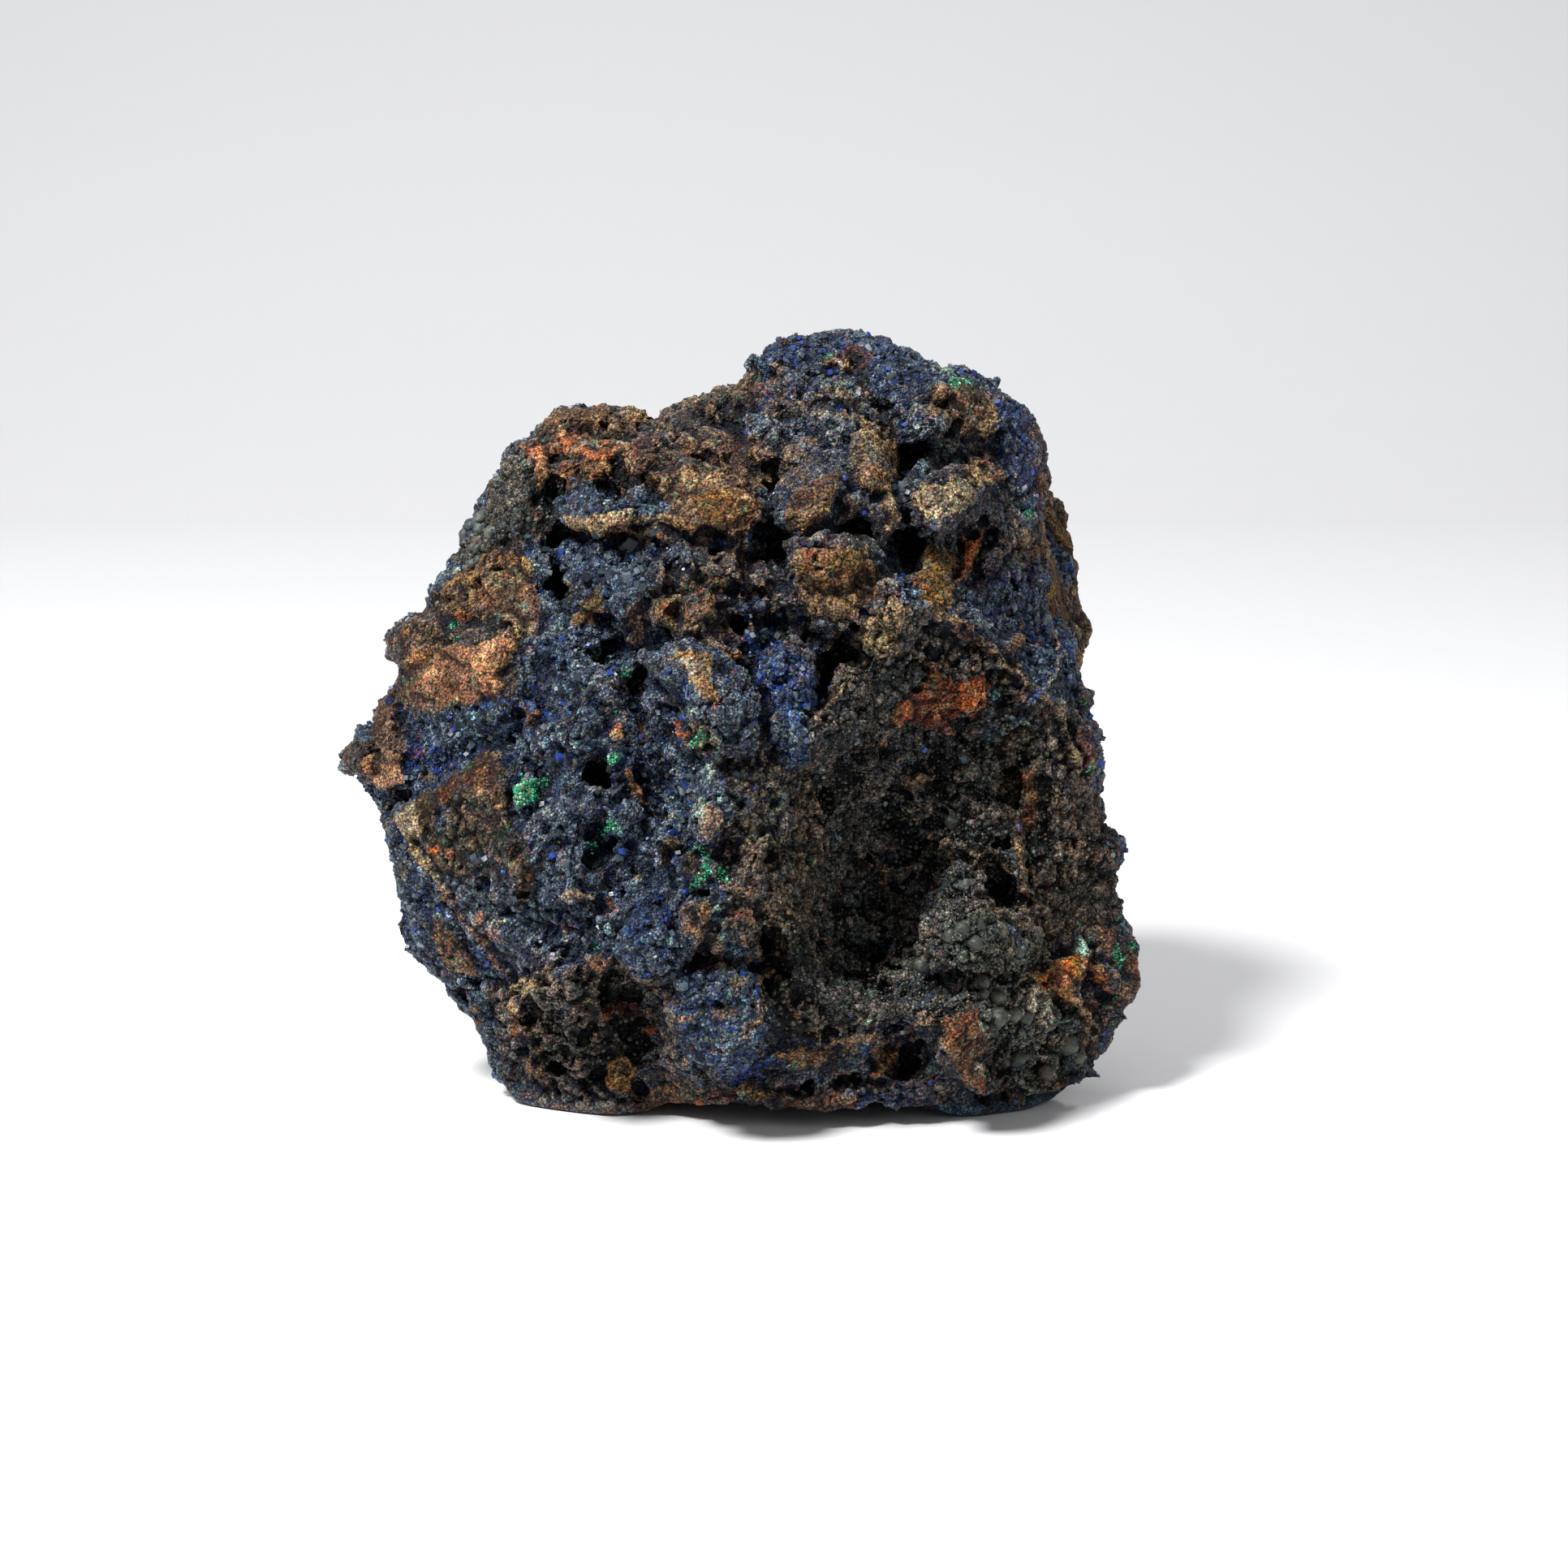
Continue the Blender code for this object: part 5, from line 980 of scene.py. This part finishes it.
def kinds_at(points):
    """How much of each kind is at each point: one column for each of KIND_NAMES."""
    weights = np.zeros((len(points), len(KINDS)), np.float32)
    weights[:, KIND_NAMES.index("azurite")] = 1.0
    lay_strewn(points, weights)
    front = frontness(points)
    lay(weights, "azurite", front)
    for kind, strength, _, where, inside, _ in front_forms(points, front, 1.0):
        if kind:
            lay(weights, kind, front[where] * strength * smoothstep(-SOFT_EDGE, SOFT_EDGE, inside), where)
    return weights


def amount(weights, kind):
    """How much of this kind is at each point."""
    return weights[:, KIND_NAMES.index(kind)]


def mixed(weights, column):
    """A number of the kinds, mixed as they are at each point."""
    return weights @ np.array([KINDS[name][column] for name in KIND_NAMES], np.float32)


def lumps_at(points, form, salt, bend=0.14):
    """Rounded lumps of this (size, height) with sharp creases between them (mm)."""
    size, height = form
    moved = points + bend * size * bent(points, size * 0.8, 1, salt + 20)
    near, following, own = cells_at(moved, size, salt)
    pillow = np.sqrt(np.clip(following - near, 0.0, 1.0))
    return height * (0.55 * pillow + 0.45 * (1.0 - near * near) - 0.75 + 0.5 * (own - 0.5))


def pits_at(points, form, lumpy, salt, bend_salt):
    """How deep the pits of this form are (mm). A smooth kind has none."""
    moved = points + form["bend"] * bent(points, form["bend_size"], 2, bend_salt)
    near, _, own = cells_at(moved, form["size"], salt)
    deep = (own < form["share"]) * (1.0 - smoothstep(*form["wall"], near))
    return form["depth"] * deep * smoothstep(0.3, 0.6, lumpy)


def placed_relief(points, front):
    """How far the front's own lumps, plates, ridges, cracks and pits stand out (mm)."""
    height = np.zeros(len(points))
    for _, _, lift, where, inside, edge in front_forms(points, front, RAGGED_RELIEF):
        here = front[where]
        if lift > GROOVED_FROM:
            outside = (inside + GROOVE_OUTSIDE) / GROOVE_WIDTH
            height[where] -= here * GROOVE * FORM_HEIGHT * min(lift, GROOVED_TO) * np.exp(-(outside**2))
        if lift > 0.0:
            t = np.clip(inside / min(edge, PLATE_EDGE) + FIRST_STEP, 0.0, 1.0)
            height[where] += here * lift * FORM_HEIGHT * np.sqrt(t * (2.0 - t))
        elif lift < 0.0:
            t = np.clip((inside - PIT_EDGE) / min(edge, PIT_WALL) + FIRST_STEP, 0.0, 1.0)
            height[where] += here * lift * PIT_DEPTH * np.sqrt(t * (2.0 - t))
    return height


def coarse_relief(points, weights):
    """How far the larger forms stand out (mm)."""
    front = frontness(points)
    height = placed_relief(points, front)
    lumpy = mixed(weights, LUMPY) * (0.75 + 0.5 * fractal(points, 12.0, 2, 39))
    size, swell = SWELLS
    lumps = lumps_at(points, LUMPS, 11) + swell * fractal(points, size, 2, 34)
    height += lumpy * (1.0 - FRONT_CALM * front) * lumps
    return height - pits_at(points, LARGE_PITS, lumpy, 13, 36)


def fine_relief(points, weights):
    """How far the smaller forms stand out (mm)."""
    lumpy = mixed(weights, LUMPY) * (0.8 + 0.6 * fractal(points, 6.0, 2, 38))
    size, tall = SMALL_LUMPS
    height = lumpy * tall * lumps_at(points, (size, 1.0), 12)
    knobs = lumps_at(points, KNOBS, 14, 0.1) + lumps_at(points, FINEST_KNOBS, 16, 0.1)
    height += mixed(weights, KNOBBY) * knobs
    return height - pits_at(points, SMALL_PITS, lumpy, 15, 37)


def lifted(points, faces, height):
    """The points moved outwards by this much, except where the lump stands on the ground."""
    moved = points + normals_of(points, faces) * (height * smoothstep(0.2, 2.0, points[:, 2]))[:, None]
    moved[:, 2] = np.maximum(moved[:, 2], 0.0)
    return moved


def coarse_base(frame):
    """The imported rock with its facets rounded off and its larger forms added, as a mesh."""
    points, faces = remeshed(frame["nodes"]["host_rock"].data.copy(), BASE_VOXEL, BASE_SMOOTHING)
    return mesh_from("base", lifted(points, faces, coarse_relief(points, kinds_at(points))), faces)


def make_surface(base, voxel):
    """The surface at this fineness: its points, faces, the kinds at each point and how sunk each point is."""
    points, faces = remeshed(base.copy(), voxel, 1)
    weights = kinds_at(points)
    points = lifted(points, faces, fine_relief(points, weights))
    sunk = sum(weight * sunk_by(points, faces, rounds) for rounds, weight in SUNK_BELOW)
    jag = np.random.default_rng(SEED).normal(0.0, JAG, len(points))
    return lifted(points, faces, jag), faces, weights, sunk


def mingle(colour, points, weights, palette):
    """Draws each small cell towards one kind, so that kinds mingle as grains and don't just fade."""
    for size, salt, strength in MINGLED:
        _, _, own = cells_at(points, size, salt)
        chosen = (np.cumsum(weights, axis=1) < own[:, None]).sum(1).clip(0, len(KINDS) - 1)
        colour += strength * (palette[chosen] - colour)


def strew(colour, points, share, size, salt, kinds, strength):
    """Recolours stray cells of this size."""
    _, _, own = cells_at(points + 0.25 * size * bent(points, size * 0.6, 1, salt + 5), size, salt)
    for low, high, kind, mine in kinds:
        here = strength * share * mine * ((own >= low) & (own < high))
        colour += here[:, None] * (linear(KINDS[kind][COLOUR]) - colour)


def paint_edge_highlights(colour, points, weights, sunk):
    """Paints raised edges pale: a painted highlight."""
    blue = mixed(weights, BLUE)[:, None]
    raised = smoothstep(0.08, 0.5, -sunk) * (1.0 - amount(weights, "black"))
    highlight_colour = blue * linear(EDGE_HIGHLIGHT_BLUE) + (1.0 - blue) * linear(EDGE_HIGHLIGHT_BROWN)
    here = EDGE_HIGHLIGHT * raised * smoothstep(-0.4, 0.4, fractal(points, 3.0, 2, 65))
    colour += here[:, None] * (highlight_colour - colour)


def painted_shade_and_tone(points, weights, sunk):
    """Painted shade: how bright each point is against its own colour, dark in creases and pits, with random
    tone.
    """
    dark = SUNK_SHADE + SUNK_SHADE_LUMPY * mixed(weights, LUMPY)
    level = BRIGHTNESS * np.exp(-dark * np.clip(sunk, -0.12, 1.0))
    level = level * (1.0 + 0.35 * fractal(points, 4.0, 3, 66))
    return np.clip(level, DARKEST, BRIGHTEST)


def speckled(points, weights, sunk):
    """The surface's colour at each point, in the shader's terms, with painted shade in creases and painted
    highlight on raised edges.
    """
    palette = np.array([linear(KINDS[name][COLOUR]) for name in KIND_NAMES])
    colour = weights @ palette
    mingle(colour, points, weights, palette)
    blue = mixed(weights, BLUE)
    dry = 1.0 - blue - amount(weights, "black") - 0.5 * amount(weights, "soot")
    dry = np.clip(dry - 0.7 * amount(weights, "bubbly"), 0.0, 1.0)
    for size, salt, strength in STRAY:
        strew(colour, points, blue, size, salt, STREWN_ON_BLUE, strength)
        strew(colour, points, dry, size, salt + 100, STREWN_ON_BROWN, strength)
    # Painted highlight: raised edges painted pale.
    paint_edge_highlights(colour, points, weights, sunk)
    # Painted shade: creases and pits darkened in the colour, raised places a little lighter.
    return np.clip(colour * painted_shade_and_tone(points, weights, sunk)[:, None], 0.0, 1.0)


def add_colour(mesh, colour):
    layer = mesh.color_attributes.new("tint", "FLOAT_COLOR", "POINT")
    full = np.column_stack([colour, np.ones(len(colour))])
    layer.data.foreach_set("color", full.astype(np.float32).ravel())


def add_number(mesh, name, values):
    layer = mesh.attributes.new(name, "FLOAT", "POINT")
    layer.data.foreach_set("value", values.astype(np.float32))


def show(name, mesh, material, slot):
    """Puts a piece of the object in the scene."""
    obj = bpy.data.objects.new(name, mesh)
    bpy.context.scene.collection.objects.link(obj)
    mesh.materials.append(material)
    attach(obj, "root")
    return obj


class Nodes:
    """A material's node tree, with short ways to add to it."""

    def __init__(self, name):
        self.material = bpy.data.materials.new(name)
        self.material.use_nodes = True
        self.tree = self.material.node_tree
        self.shader = self.tree.nodes["Principled BSDF"]

    def add(self, kind, settings=(), inputs=()):
        node = self.tree.nodes.new(kind)
        for name, value in dict(settings).items():
            setattr(node, name, value)
        for name, value in dict(inputs).items():
            self.put(node, name, value)
        return node

    def put(self, node, name, value):
        """Links a socket to this input, or sets the input to a plain value."""
        if isinstance(value, bpy.types.NodeSocket):
            self.tree.links.new(value, node.inputs[name])
        else:
            node.inputs[name].default_value = value

    def painted(self, name, output="Fac"):
        """What is painted on the mesh under this name."""
        return self.add("ShaderNodeAttribute", {"attribute_name": name}).outputs[output]

    def times(self, a, b):
        return self.maths("MULTIPLY", a, b)

    def maths(self, operation, a, b):
        node = self.add("ShaderNodeMath", {"operation": operation})
        self.put(node, 0, a)
        self.put(node, 1, b)
        return node.outputs[0]

    def span(self, value, low, high, to_low, to_high):
        """A number from low to high, spread from to_low to to_high."""
        inputs = {"Value": value, "From Min": low, "From Max": high, "To Min": to_low, "To Max": to_high}
        return self.add("ShaderNodeMapRange", {"clamp": True}, inputs).outputs["Result"]

    def blend(self, how, share, a, b):
        node = self.add("ShaderNodeMix", {"data_type": "RGBA", "blend_type": how})
        self.put(node, 0, share)
        self.put(node, 6, a)
        self.put(node, 7, b)
        return node.outputs[2]

    def grey(self, level):
        levels = {"Red": level, "Green": level, "Blue": level}
        return self.add("ShaderNodeCombineColor", (), levels).outputs["Color"]

    def place(self):
        return self.add("ShaderNodeTexCoord").outputs["Object"]

    def grain(self, size):
        """Cells of this size in millimetres."""
        return self.add("ShaderNodeTexVoronoi", (), {"Vector": self.place(), "Scale": 1.0 / (size * MM)})

    def cloud(self, size):
        """Soft noise of this size in millimetres."""
        inputs = {"Vector": self.place(), "Scale": 1.0 / (size * MM), "Detail": 3.0}
        return self.add("ShaderNodeTexNoise", (), inputs).outputs["Fac"]

    def own_numbers(self, cells):
        """Three random numbers of each cell's own."""
        return self.add("ShaderNodeSeparateColor", (), {"Color": cells.outputs["Color"]}).outputs

    def stray_hue(self, cells, low, high):
        """A different faint hue for each cell."""
        own = self.own_numbers(cells)
        levels = {name: self.span(own[name], 0.0, 1.0, low, high) for name in ("Red", "Green", "Blue")}
        return self.add("ShaderNodeCombineColor", (), levels).outputs["Color"]

    def bump(self, strength, depth, height):
        """Makes the surface look raised by this height, up to this depth in millimetres."""
        inputs = {"Strength": strength, "Distance": depth * MM, "Height": height}
        self.put(self.shader, "Normal", self.add("ShaderNodeBump", (), inputs).outputs["Normal"])


def rock_material():
    """The rock and its crusts: the painted tint, broken into fine grains with dark gaps and bright faces."""
    n = Nodes("rock")
    tint = n.painted("tint", "Color")
    blue = n.painted("blue")
    fine, finer = n.grain(GRAIN), n.grain(FINE_GRAIN)
    from_fine, from_finer = fine.outputs["Distance"], finer.outputs["Distance"]
    own = n.own_numbers(fine)
    # Painted shade in the dark gaps between grains, and grains lighter and darker than the tint, on blue the
    # most.
    gap_shade = n.span(from_fine, 0.32, 0.78, 1.2, 0.10)
    fine_gap_shade = n.span(from_finer, 0.2, 0.8, 1.2, 0.5)
    stops = n.span(own["Red"], 0.0, 1.0, -1.1, n.span(blue, 0.0, 1.0, 0.35, 0.85))
    each = n.maths("POWER", 2.0, n.times(stops, n.span(blue, 0.0, 1.0, 0.8, 1.5)))
    level = n.times(n.times(gap_shade, fine_gap_shade), each)
    hued = n.blend("MULTIPLY", 1.0, tint, n.stray_hue(finer, 0.6, 1.35))
    shaded = n.blend("MULTIPLY", 1.0, hued, n.grey(level))
    is_vivid = n.times(n.painted("vivid"), n.span(own["Green"], 0.62, 0.72, 0.0, 0.85))
    shaded = n.blend("MIX", is_vivid, shaded, (*linear(VIVID_GRAIN), 1.0))
    # Painted highlights: some crystal grains are painted pale, as glints of grains that face the light.
    glint_tint = n.blend("MULTIPLY", 1.0, tint, (1.6, 1.9, 2.0, 1.0))
    highlight_colour = n.blend("MIX", 0.6, glint_tint, (*linear(GLINT_GRAIN), 1.0))
    glint_share = n.times(n.span(blue, 0.0, 1.0, 0.6, 1.0), n.span(own["Blue"], 0.82, 0.90, 0.0, 0.6))
    painted_glint = n.times(glint_share, n.span(from_fine, 0.25, 0.5, 1.0, 0.0))
    luma = n.add("ShaderNodeRGBToBW", (), {"Color": tint}).outputs["Val"]
    shaded = n.blend("MIX", n.times(painted_glint, n.span(luma, 0.002, 0.03, 0.2, 1.0)), shaded, highlight_colour)
    n.put(n.shader, "Base Color", shaded)
    rough = n.times(n.span(blue, 0.0, 1.0, 0.62, 0.36), n.span(own["Red"], 0.0, 1.0, 0.8, 1.3))
    n.put(n.shader, "Roughness", rough)
    height = n.maths("ADD", n.times(from_fine, -1.0), n.times(from_finer, -0.4))
    n.bump(n.span(blue, 0.0, 1.0, 0.7, 1.0), GRAIN_DEPTH, height)
    n.shader.inputs["IOR"].default_value = 1.3
    n.shader.inputs["Specular IOR Level"].default_value = 0.35
    return n.material


def mottled(name, size, levels, roughness):
    """A material of the piece's own tint, mottled at this size in brightness and in roughness."""
    n = Nodes(name)
    mottle = n.cloud(size)
    level = n.grey(n.span(mottle, 0.3, 0.7, *levels))
    n.put(n.shader, "Base Color", n.blend("MULTIPLY", 1.0, n.painted("tint", "Color"), level))
    n.put(n.shader, "Roughness", n.span(mottle, 0.3, 0.7, *roughness))
    return n


def beads_material(name, roughness):
    """Smooth bubbly iron oxide."""
    n = mottled(name, 0.35, (0.55, 1.5), (roughness - 0.12, roughness + 0.12))
    n.bump(0.5, 0.06, n.grain(0.16).outputs["Distance"])
    n.shader.inputs["Specular IOR Level"].default_value = 0.35
    return n.material


def crystal_material():
    """Azurite crystals: near-black blue faces that mirror what is round them."""
    n = mottled("azurite_crystal", 0.5, (0.7, 1.4), (0.30, 0.50))
    n.shader.inputs["IOR"].default_value = 1.45
    return n.material


def ball(subdivisions):
    """A round bead: (points, faces)."""
    made = bmesh.new()
    bmesh.ops.create_icosphere(made, subdivisions=subdivisions, radius=1.0)
    points = np.array([v.co for v in made.verts])
    faces = np.array([[v.index for v in f.verts] for f in made.faces])
    made.free()
    return points, faces


def turned(count, rng, normals, lean):
    """A rotation for each of these: its z along the normal, leaned by up to this much, and spun."""
    axis = normals + lean * rng.normal(0.0, 1.0, (count, 3))
    axis /= np.linalg.norm(axis, axis=1)[:, None]
    side = rng.normal(0.0, 1.0, (count, 3))
    side -= axis * (side * axis).sum(1)[:, None]
    side /= np.linalg.norm(side, axis=1)[:, None]
    return np.stack([side, np.cross(axis, side), axis], 2)


def planted(shape_points, shape_faces, places, turns, sizes):
    """Copies of one small shape as one mesh: (points, faces)."""
    count = len(places)
    local = shape_points[None] * sizes[:, None, :]
    points = np.einsum("nij,nvj->nvi", turns, local) + places[:, None]
    faces = shape_faces[None] + (np.arange(count) * len(shape_points))[:, None, None]
    return points.reshape(-1, 3), faces.reshape(-1, shape_faces.shape[1])


def picked(rng, weight, area, count):
    """Numbers of this many faces, chosen by weight and area."""
    chance = weight * area
    return rng.choice(len(area), size=count, p=chance / chance.sum())


def face_facts(points, faces):
    """Each face's middle, direction and area."""
    normal = across_faces(points, faces)
    size = np.maximum(np.linalg.norm(normal, axis=1), 1e-9)
    return points[faces].mean(1), normal / size[:, None], size / 2


def tints(rng, count, colours, spread):
    """A colour for each of these: (share, colour) pairs, made lighter and darker."""
    shares = np.array([share for share, _ in colours])
    palette = np.array([linear(colour) for _, colour in colours])
    chosen = rng.choice(len(colours), size=count, p=shares / shares.sum())
    return palette[chosen] * np.exp(rng.normal(0.0, spread, (count, 1)))


class Growth:
    """What grows on the rock: a small shape, how far it leans, how deep it is sunk (share of its size), how
    much it bulges (mm), whether it is round, its colours, its material and its slot (not used)."""

    def __init__(self, shape, colours, material, slot, lean, sink=0.0, bulge=0.0, is_round=False):
        self.shape, self.colours, self.material, self.slot = shape, colours, material, slot
        self.lean, self.sink, self.bulge, self.is_round = lean, sink, bulge, is_round

    def show(self, name, places, normals, sizes, spread, rng):
        """Copies of the shape standing at these places, as one piece."""
        count = len(places)
        points, faces = planted(*self.shape, places, turned(count, rng, normals, self.lean), sizes)
        if self.bulge:
            points += self.bulge * bent(points, 0.6, 2, 111)
        mesh = mesh_from(name, points, faces, self.is_round)
        add_colour(mesh, np.repeat(tints(rng, count, self.colours, spread), len(self.shape[0]), axis=0))
        return show(name, mesh, self.material, self.slot)


def add_grown(name, surface, chance, count, low, high, power, growth):
    """Many small crystals or beads, from low to high in size, that grow out of the surface, as one piece.
    A higher power makes more of them small."""
    middles, normals, area = face_facts(*surface)
    rng = np.random.default_rng(SEED + len(name) + count)
    chosen = picked(rng, chance * smoothstep(0.6, 1.6, middles[:, 2]), area, count)
    size = low * (high / low) ** (rng.random(count) ** power)
    sizes = np.column_stack([size, size * rng.uniform(0.6, 1.0, count), size * rng.uniform(0.7, 1.1, count)])
    if growth.is_round:
        sizes = size[:, None] * rng.uniform(0.85, 1.1, (count, 3))
    places = middles[chosen] - normals[chosen] * (growth.sink * size)[:, None]
    return growth.show(name, places, normals[chosen], sizes, 0.3, rng)


def nearest_faces(surface, spots):
    """For each place on the front, the middle and direction of the face that the camera sees there."""
    middles, normals, _ = face_facts(*surface)
    x, y, w = seen(middles)
    chosen = []
    for at_x, at_y in spots:
        close = np.nonzero((abs(x - at_x) < 6.0) & (abs(y - at_y) < 6.0))[0]
        chosen.append(close[np.argmax(w[close])])
    return middles[chosen], normals[chosen]


def add_placed(name, surface, spots, growth):
    """Bubbles or crystals at set places of the front: (x, y, size)."""
    spots = np.array(spots, float)
    rng = np.random.default_rng(SEED + len(spots))
    middles, normals = nearest_faces(surface, spots[:, :2])
    facing = normals + 0.8 * towards_camera()
    facing /= np.linalg.norm(facing, axis=1)[:, None]
    size = spots[:, 2:] / PER_MM
    sizes = size * rng.uniform(0.8, 1.1, (len(spots), 3))
    return growth.show(name, middles - facing * growth.sink * size, facing, sizes, 0.2, rng)


def add_beads(surface, on_faces, here):
    """The hollow's crust of iron oxide beads, looser beads on the dark places round it, and bubbles."""
    x, y, _ = seen(surface[0][surface[1]].mean(1))
    inside = 1.0 - smoothstep(0.8, 1.15, np.sqrt(out_of_round(x, y, *HOLLOW)))
    dark = sum(share * amount(on_faces, kind) for kind, share in UNDER_BEADS.items())
    beads = beads_material("iron_oxide_beads", 0.42)
    crust = Growth(ball(1), BEAD_COLOURS, beads, "crust", 0.3, sink=0.15, is_round=True)
    made = add_grown("hollow_beads", surface, inside * dark * here, 7500, 0.12, 0.30, 1.4, crust)
    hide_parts("hollow_crust")
    around = (1.0 - inside) * (dark + 0.3 * amount(on_faces, "umber")) * here
    loose = Growth(ball(1), BEAD_COLOURS, beads, "crust", 0.3, sink=0.2, is_round=True)
    add_grown("dark_beads", surface, around, 2400, 0.14, 0.40, 1.5, loose)
    skin = beads_material("bubbles", 0.5)
    bubble = Growth(ball(3), BUBBLE_COLOURS, skin, "crust", 0.2, sink=0.55, bulge=0.10, is_round=True)
    add_placed("bubbles", surface, BUBBLES, bubble)


def add_growths(side, surface, weights, crystal):
    """What grows on this side of the rock."""
    points, faces = surface
    crystals = (CRYSTAL_POINTS, CRYSTAL_FACES)
    ahead = frontness(points)[faces].mean(1)
    here = np.clip(2.0 * (ahead if side == "front" else 1.0 - ahead) - 0.6, 0.0, 1.0)
    patchy = 0.35 + smoothstep(-0.3, 0.6, fractal(points[faces].mean(1), 7.0, 3, 101))
    on_blue = np.clip(mixed(weights, BLUE)[faces].mean(1) - 0.35, 0.0, 1.0) * patchy * here
    azurite = Growth(crystals, CRYSTAL_COLOURS, crystal, "rock", 0.65)
    add_grown("crystals_" + side, surface, on_blue, 5500, 0.14, 0.70, 2.2, azurite)
    if side == "front":
        on_faces = weights[faces].mean(1)
        add_beads(surface, on_faces, here)
        tuft = Growth(crystals, GREEN_COLOURS, crystal, "rock", 0.5)
        add_grown("malachite", surface, amount(on_faces, "green") ** 2 * here, 1200, 0.10, 0.30, 1.5, tuft)
        large = Growth(crystals, CRYSTAL_COLOURS, crystal, "rock", 0.6, sink=0.1)
        add_placed("large_crystals", surface, LARGE_CRYSTALS, large)


def pieces_of(side, points, faces):
    """Which faces belong to each piece of rock on this side."""
    ahead = frontness(points)[faces].mean(1)
    if side == "back":
        return {"rock_back": ahead < 0.55}
    across = points[faces].mean(1)[:, 0]
    return {name: (ahead > 0.45) & (across >= low) & (across < high) for name, low, high in FRONT_PIECES}


def add_rock(side, surface, weights, sunk, material):
    """The rock's own surface on this side."""
    points, faces = surface
    painted = {name: mixed(weights, column) for name, column in (("blue", BLUE), ("vivid", VIVID))}
    tint = speckled(points, weights, sunk)
    for name, chosen in pieces_of(side, points, faces).items():
        used, renumbered = np.unique(faces[chosen], return_inverse=True)
        mesh = mesh_from(name, points[used], renumbered.reshape(-1, 4))
        add_colour(mesh, tint[used])
        for layer, values in painted.items():
            add_number(mesh, layer, values[used])
        piece = show(name, mesh, material, "rock")
        if name == "rock_front_left":
            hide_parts("host_rock")


def look_at(obj, target):
    obj.rotation_euler = (Vector(target) - obj.location).to_track_quat("-Z", "Y").to_euler()


def view_target():
    """The place that the camera looks at, in metres."""
    y = (AXIS_V - MIDDLE_V) * math.sin(VIEW_TILT)
    z = (AXIS_V - MIDDLE_V) * math.cos(VIEW_TILT)
    return Vector((AXIS_U + CENTRE_X, y + CENTRE_Y, z + FOOT_BELOW_MIDDLE)) * MM


def add_camera():
    data = bpy.data.cameras.new("camera")
    data.lens = 85.0
    data.sensor_width = 36.0
    data.clip_start = 0.01
    camera = bpy.data.objects.new("camera", data)
    bpy.context.scene.collection.objects.link(camera)
    camera.location = view_target() + Vector(towards_camera()) * VIEW_DISTANCE * MM
    look_at(camera, view_target())
    bpy.context.scene.camera = camera


def add_floor():
    """A pale floor that curves up into a backdrop."""
    turns = np.linspace(0.1, math.pi / 2, 12)
    profile = [(FLOOR_NEAR, 0.0), (FLOOR_FAR, 0.0)]
    profile += [(FLOOR_FAR + BACKDROP_RADIUS * math.sin(a), BACKDROP_RADIUS * (1.0 - math.cos(a)))
                for a in turns]
    profile += [(FLOOR_FAR + BACKDROP_RADIUS, BACKDROP_TOP)]
    points = np.array([(x, y, z) for x in (-FLOOR_HALF_WIDTH, FLOOR_HALF_WIDTH) for y, z in profile]) / MM
    count = len(profile)
    faces = np.array([(i, i + count, i + count + 1, i + 1) for i in range(count - 1)])
    mesh = mesh_from("floor", points, faces, smooth=True)
    n = Nodes("floor")
    n.shader.inputs["Base Color"].default_value = FLOOR_COLOUR
    n.shader.inputs["Roughness"].default_value = 0.16
    n.shader.inputs["Specular IOR Level"].default_value = 0.5
    mesh.materials.append(n.material)
    floor = bpy.data.objects.new("floor", mesh)
    bpy.context.scene.collection.objects.link(floor)


def add_lamp(name, place, size, power):
    data = bpy.data.lights.new(name, "AREA")
    data.shape = "DISK"
    data.size = size
    data.energy = power
    lamp = bpy.data.objects.new(name, data)
    bpy.context.scene.collection.objects.link(lamp)
    lamp.location = place
    look_at(lamp, LAMPS_AIM)


def add_light():
    """Soft white light from all round and from the lamps."""
    world = bpy.data.worlds.new("world")
    bpy.context.scene.world = world
    world.use_nodes = True
    background = world.node_tree.nodes["Background"]
    background.inputs["Color"].default_value = SURROUNDINGS
    background.inputs["Strength"].default_value = SURROUNDINGS_STRENGTH
    for lamp in LAMPS:
        add_lamp(*lamp)
    bpy.context.scene.view_settings.view_transform = "Standard"


def main():
    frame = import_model()
    base = coarse_base(frame)
    rock = rock_material()
    crystal = crystal_material()
    for side, voxel in SIDE_VOXELS.items():
        points, faces, weights, sunk = make_surface(base, voxel)
        add_rock(side, (points, faces), weights, sunk, rock)
        add_growths(side, (points, faces), weights, crystal)
    add_camera()
    add_floor()
    add_light()


main()
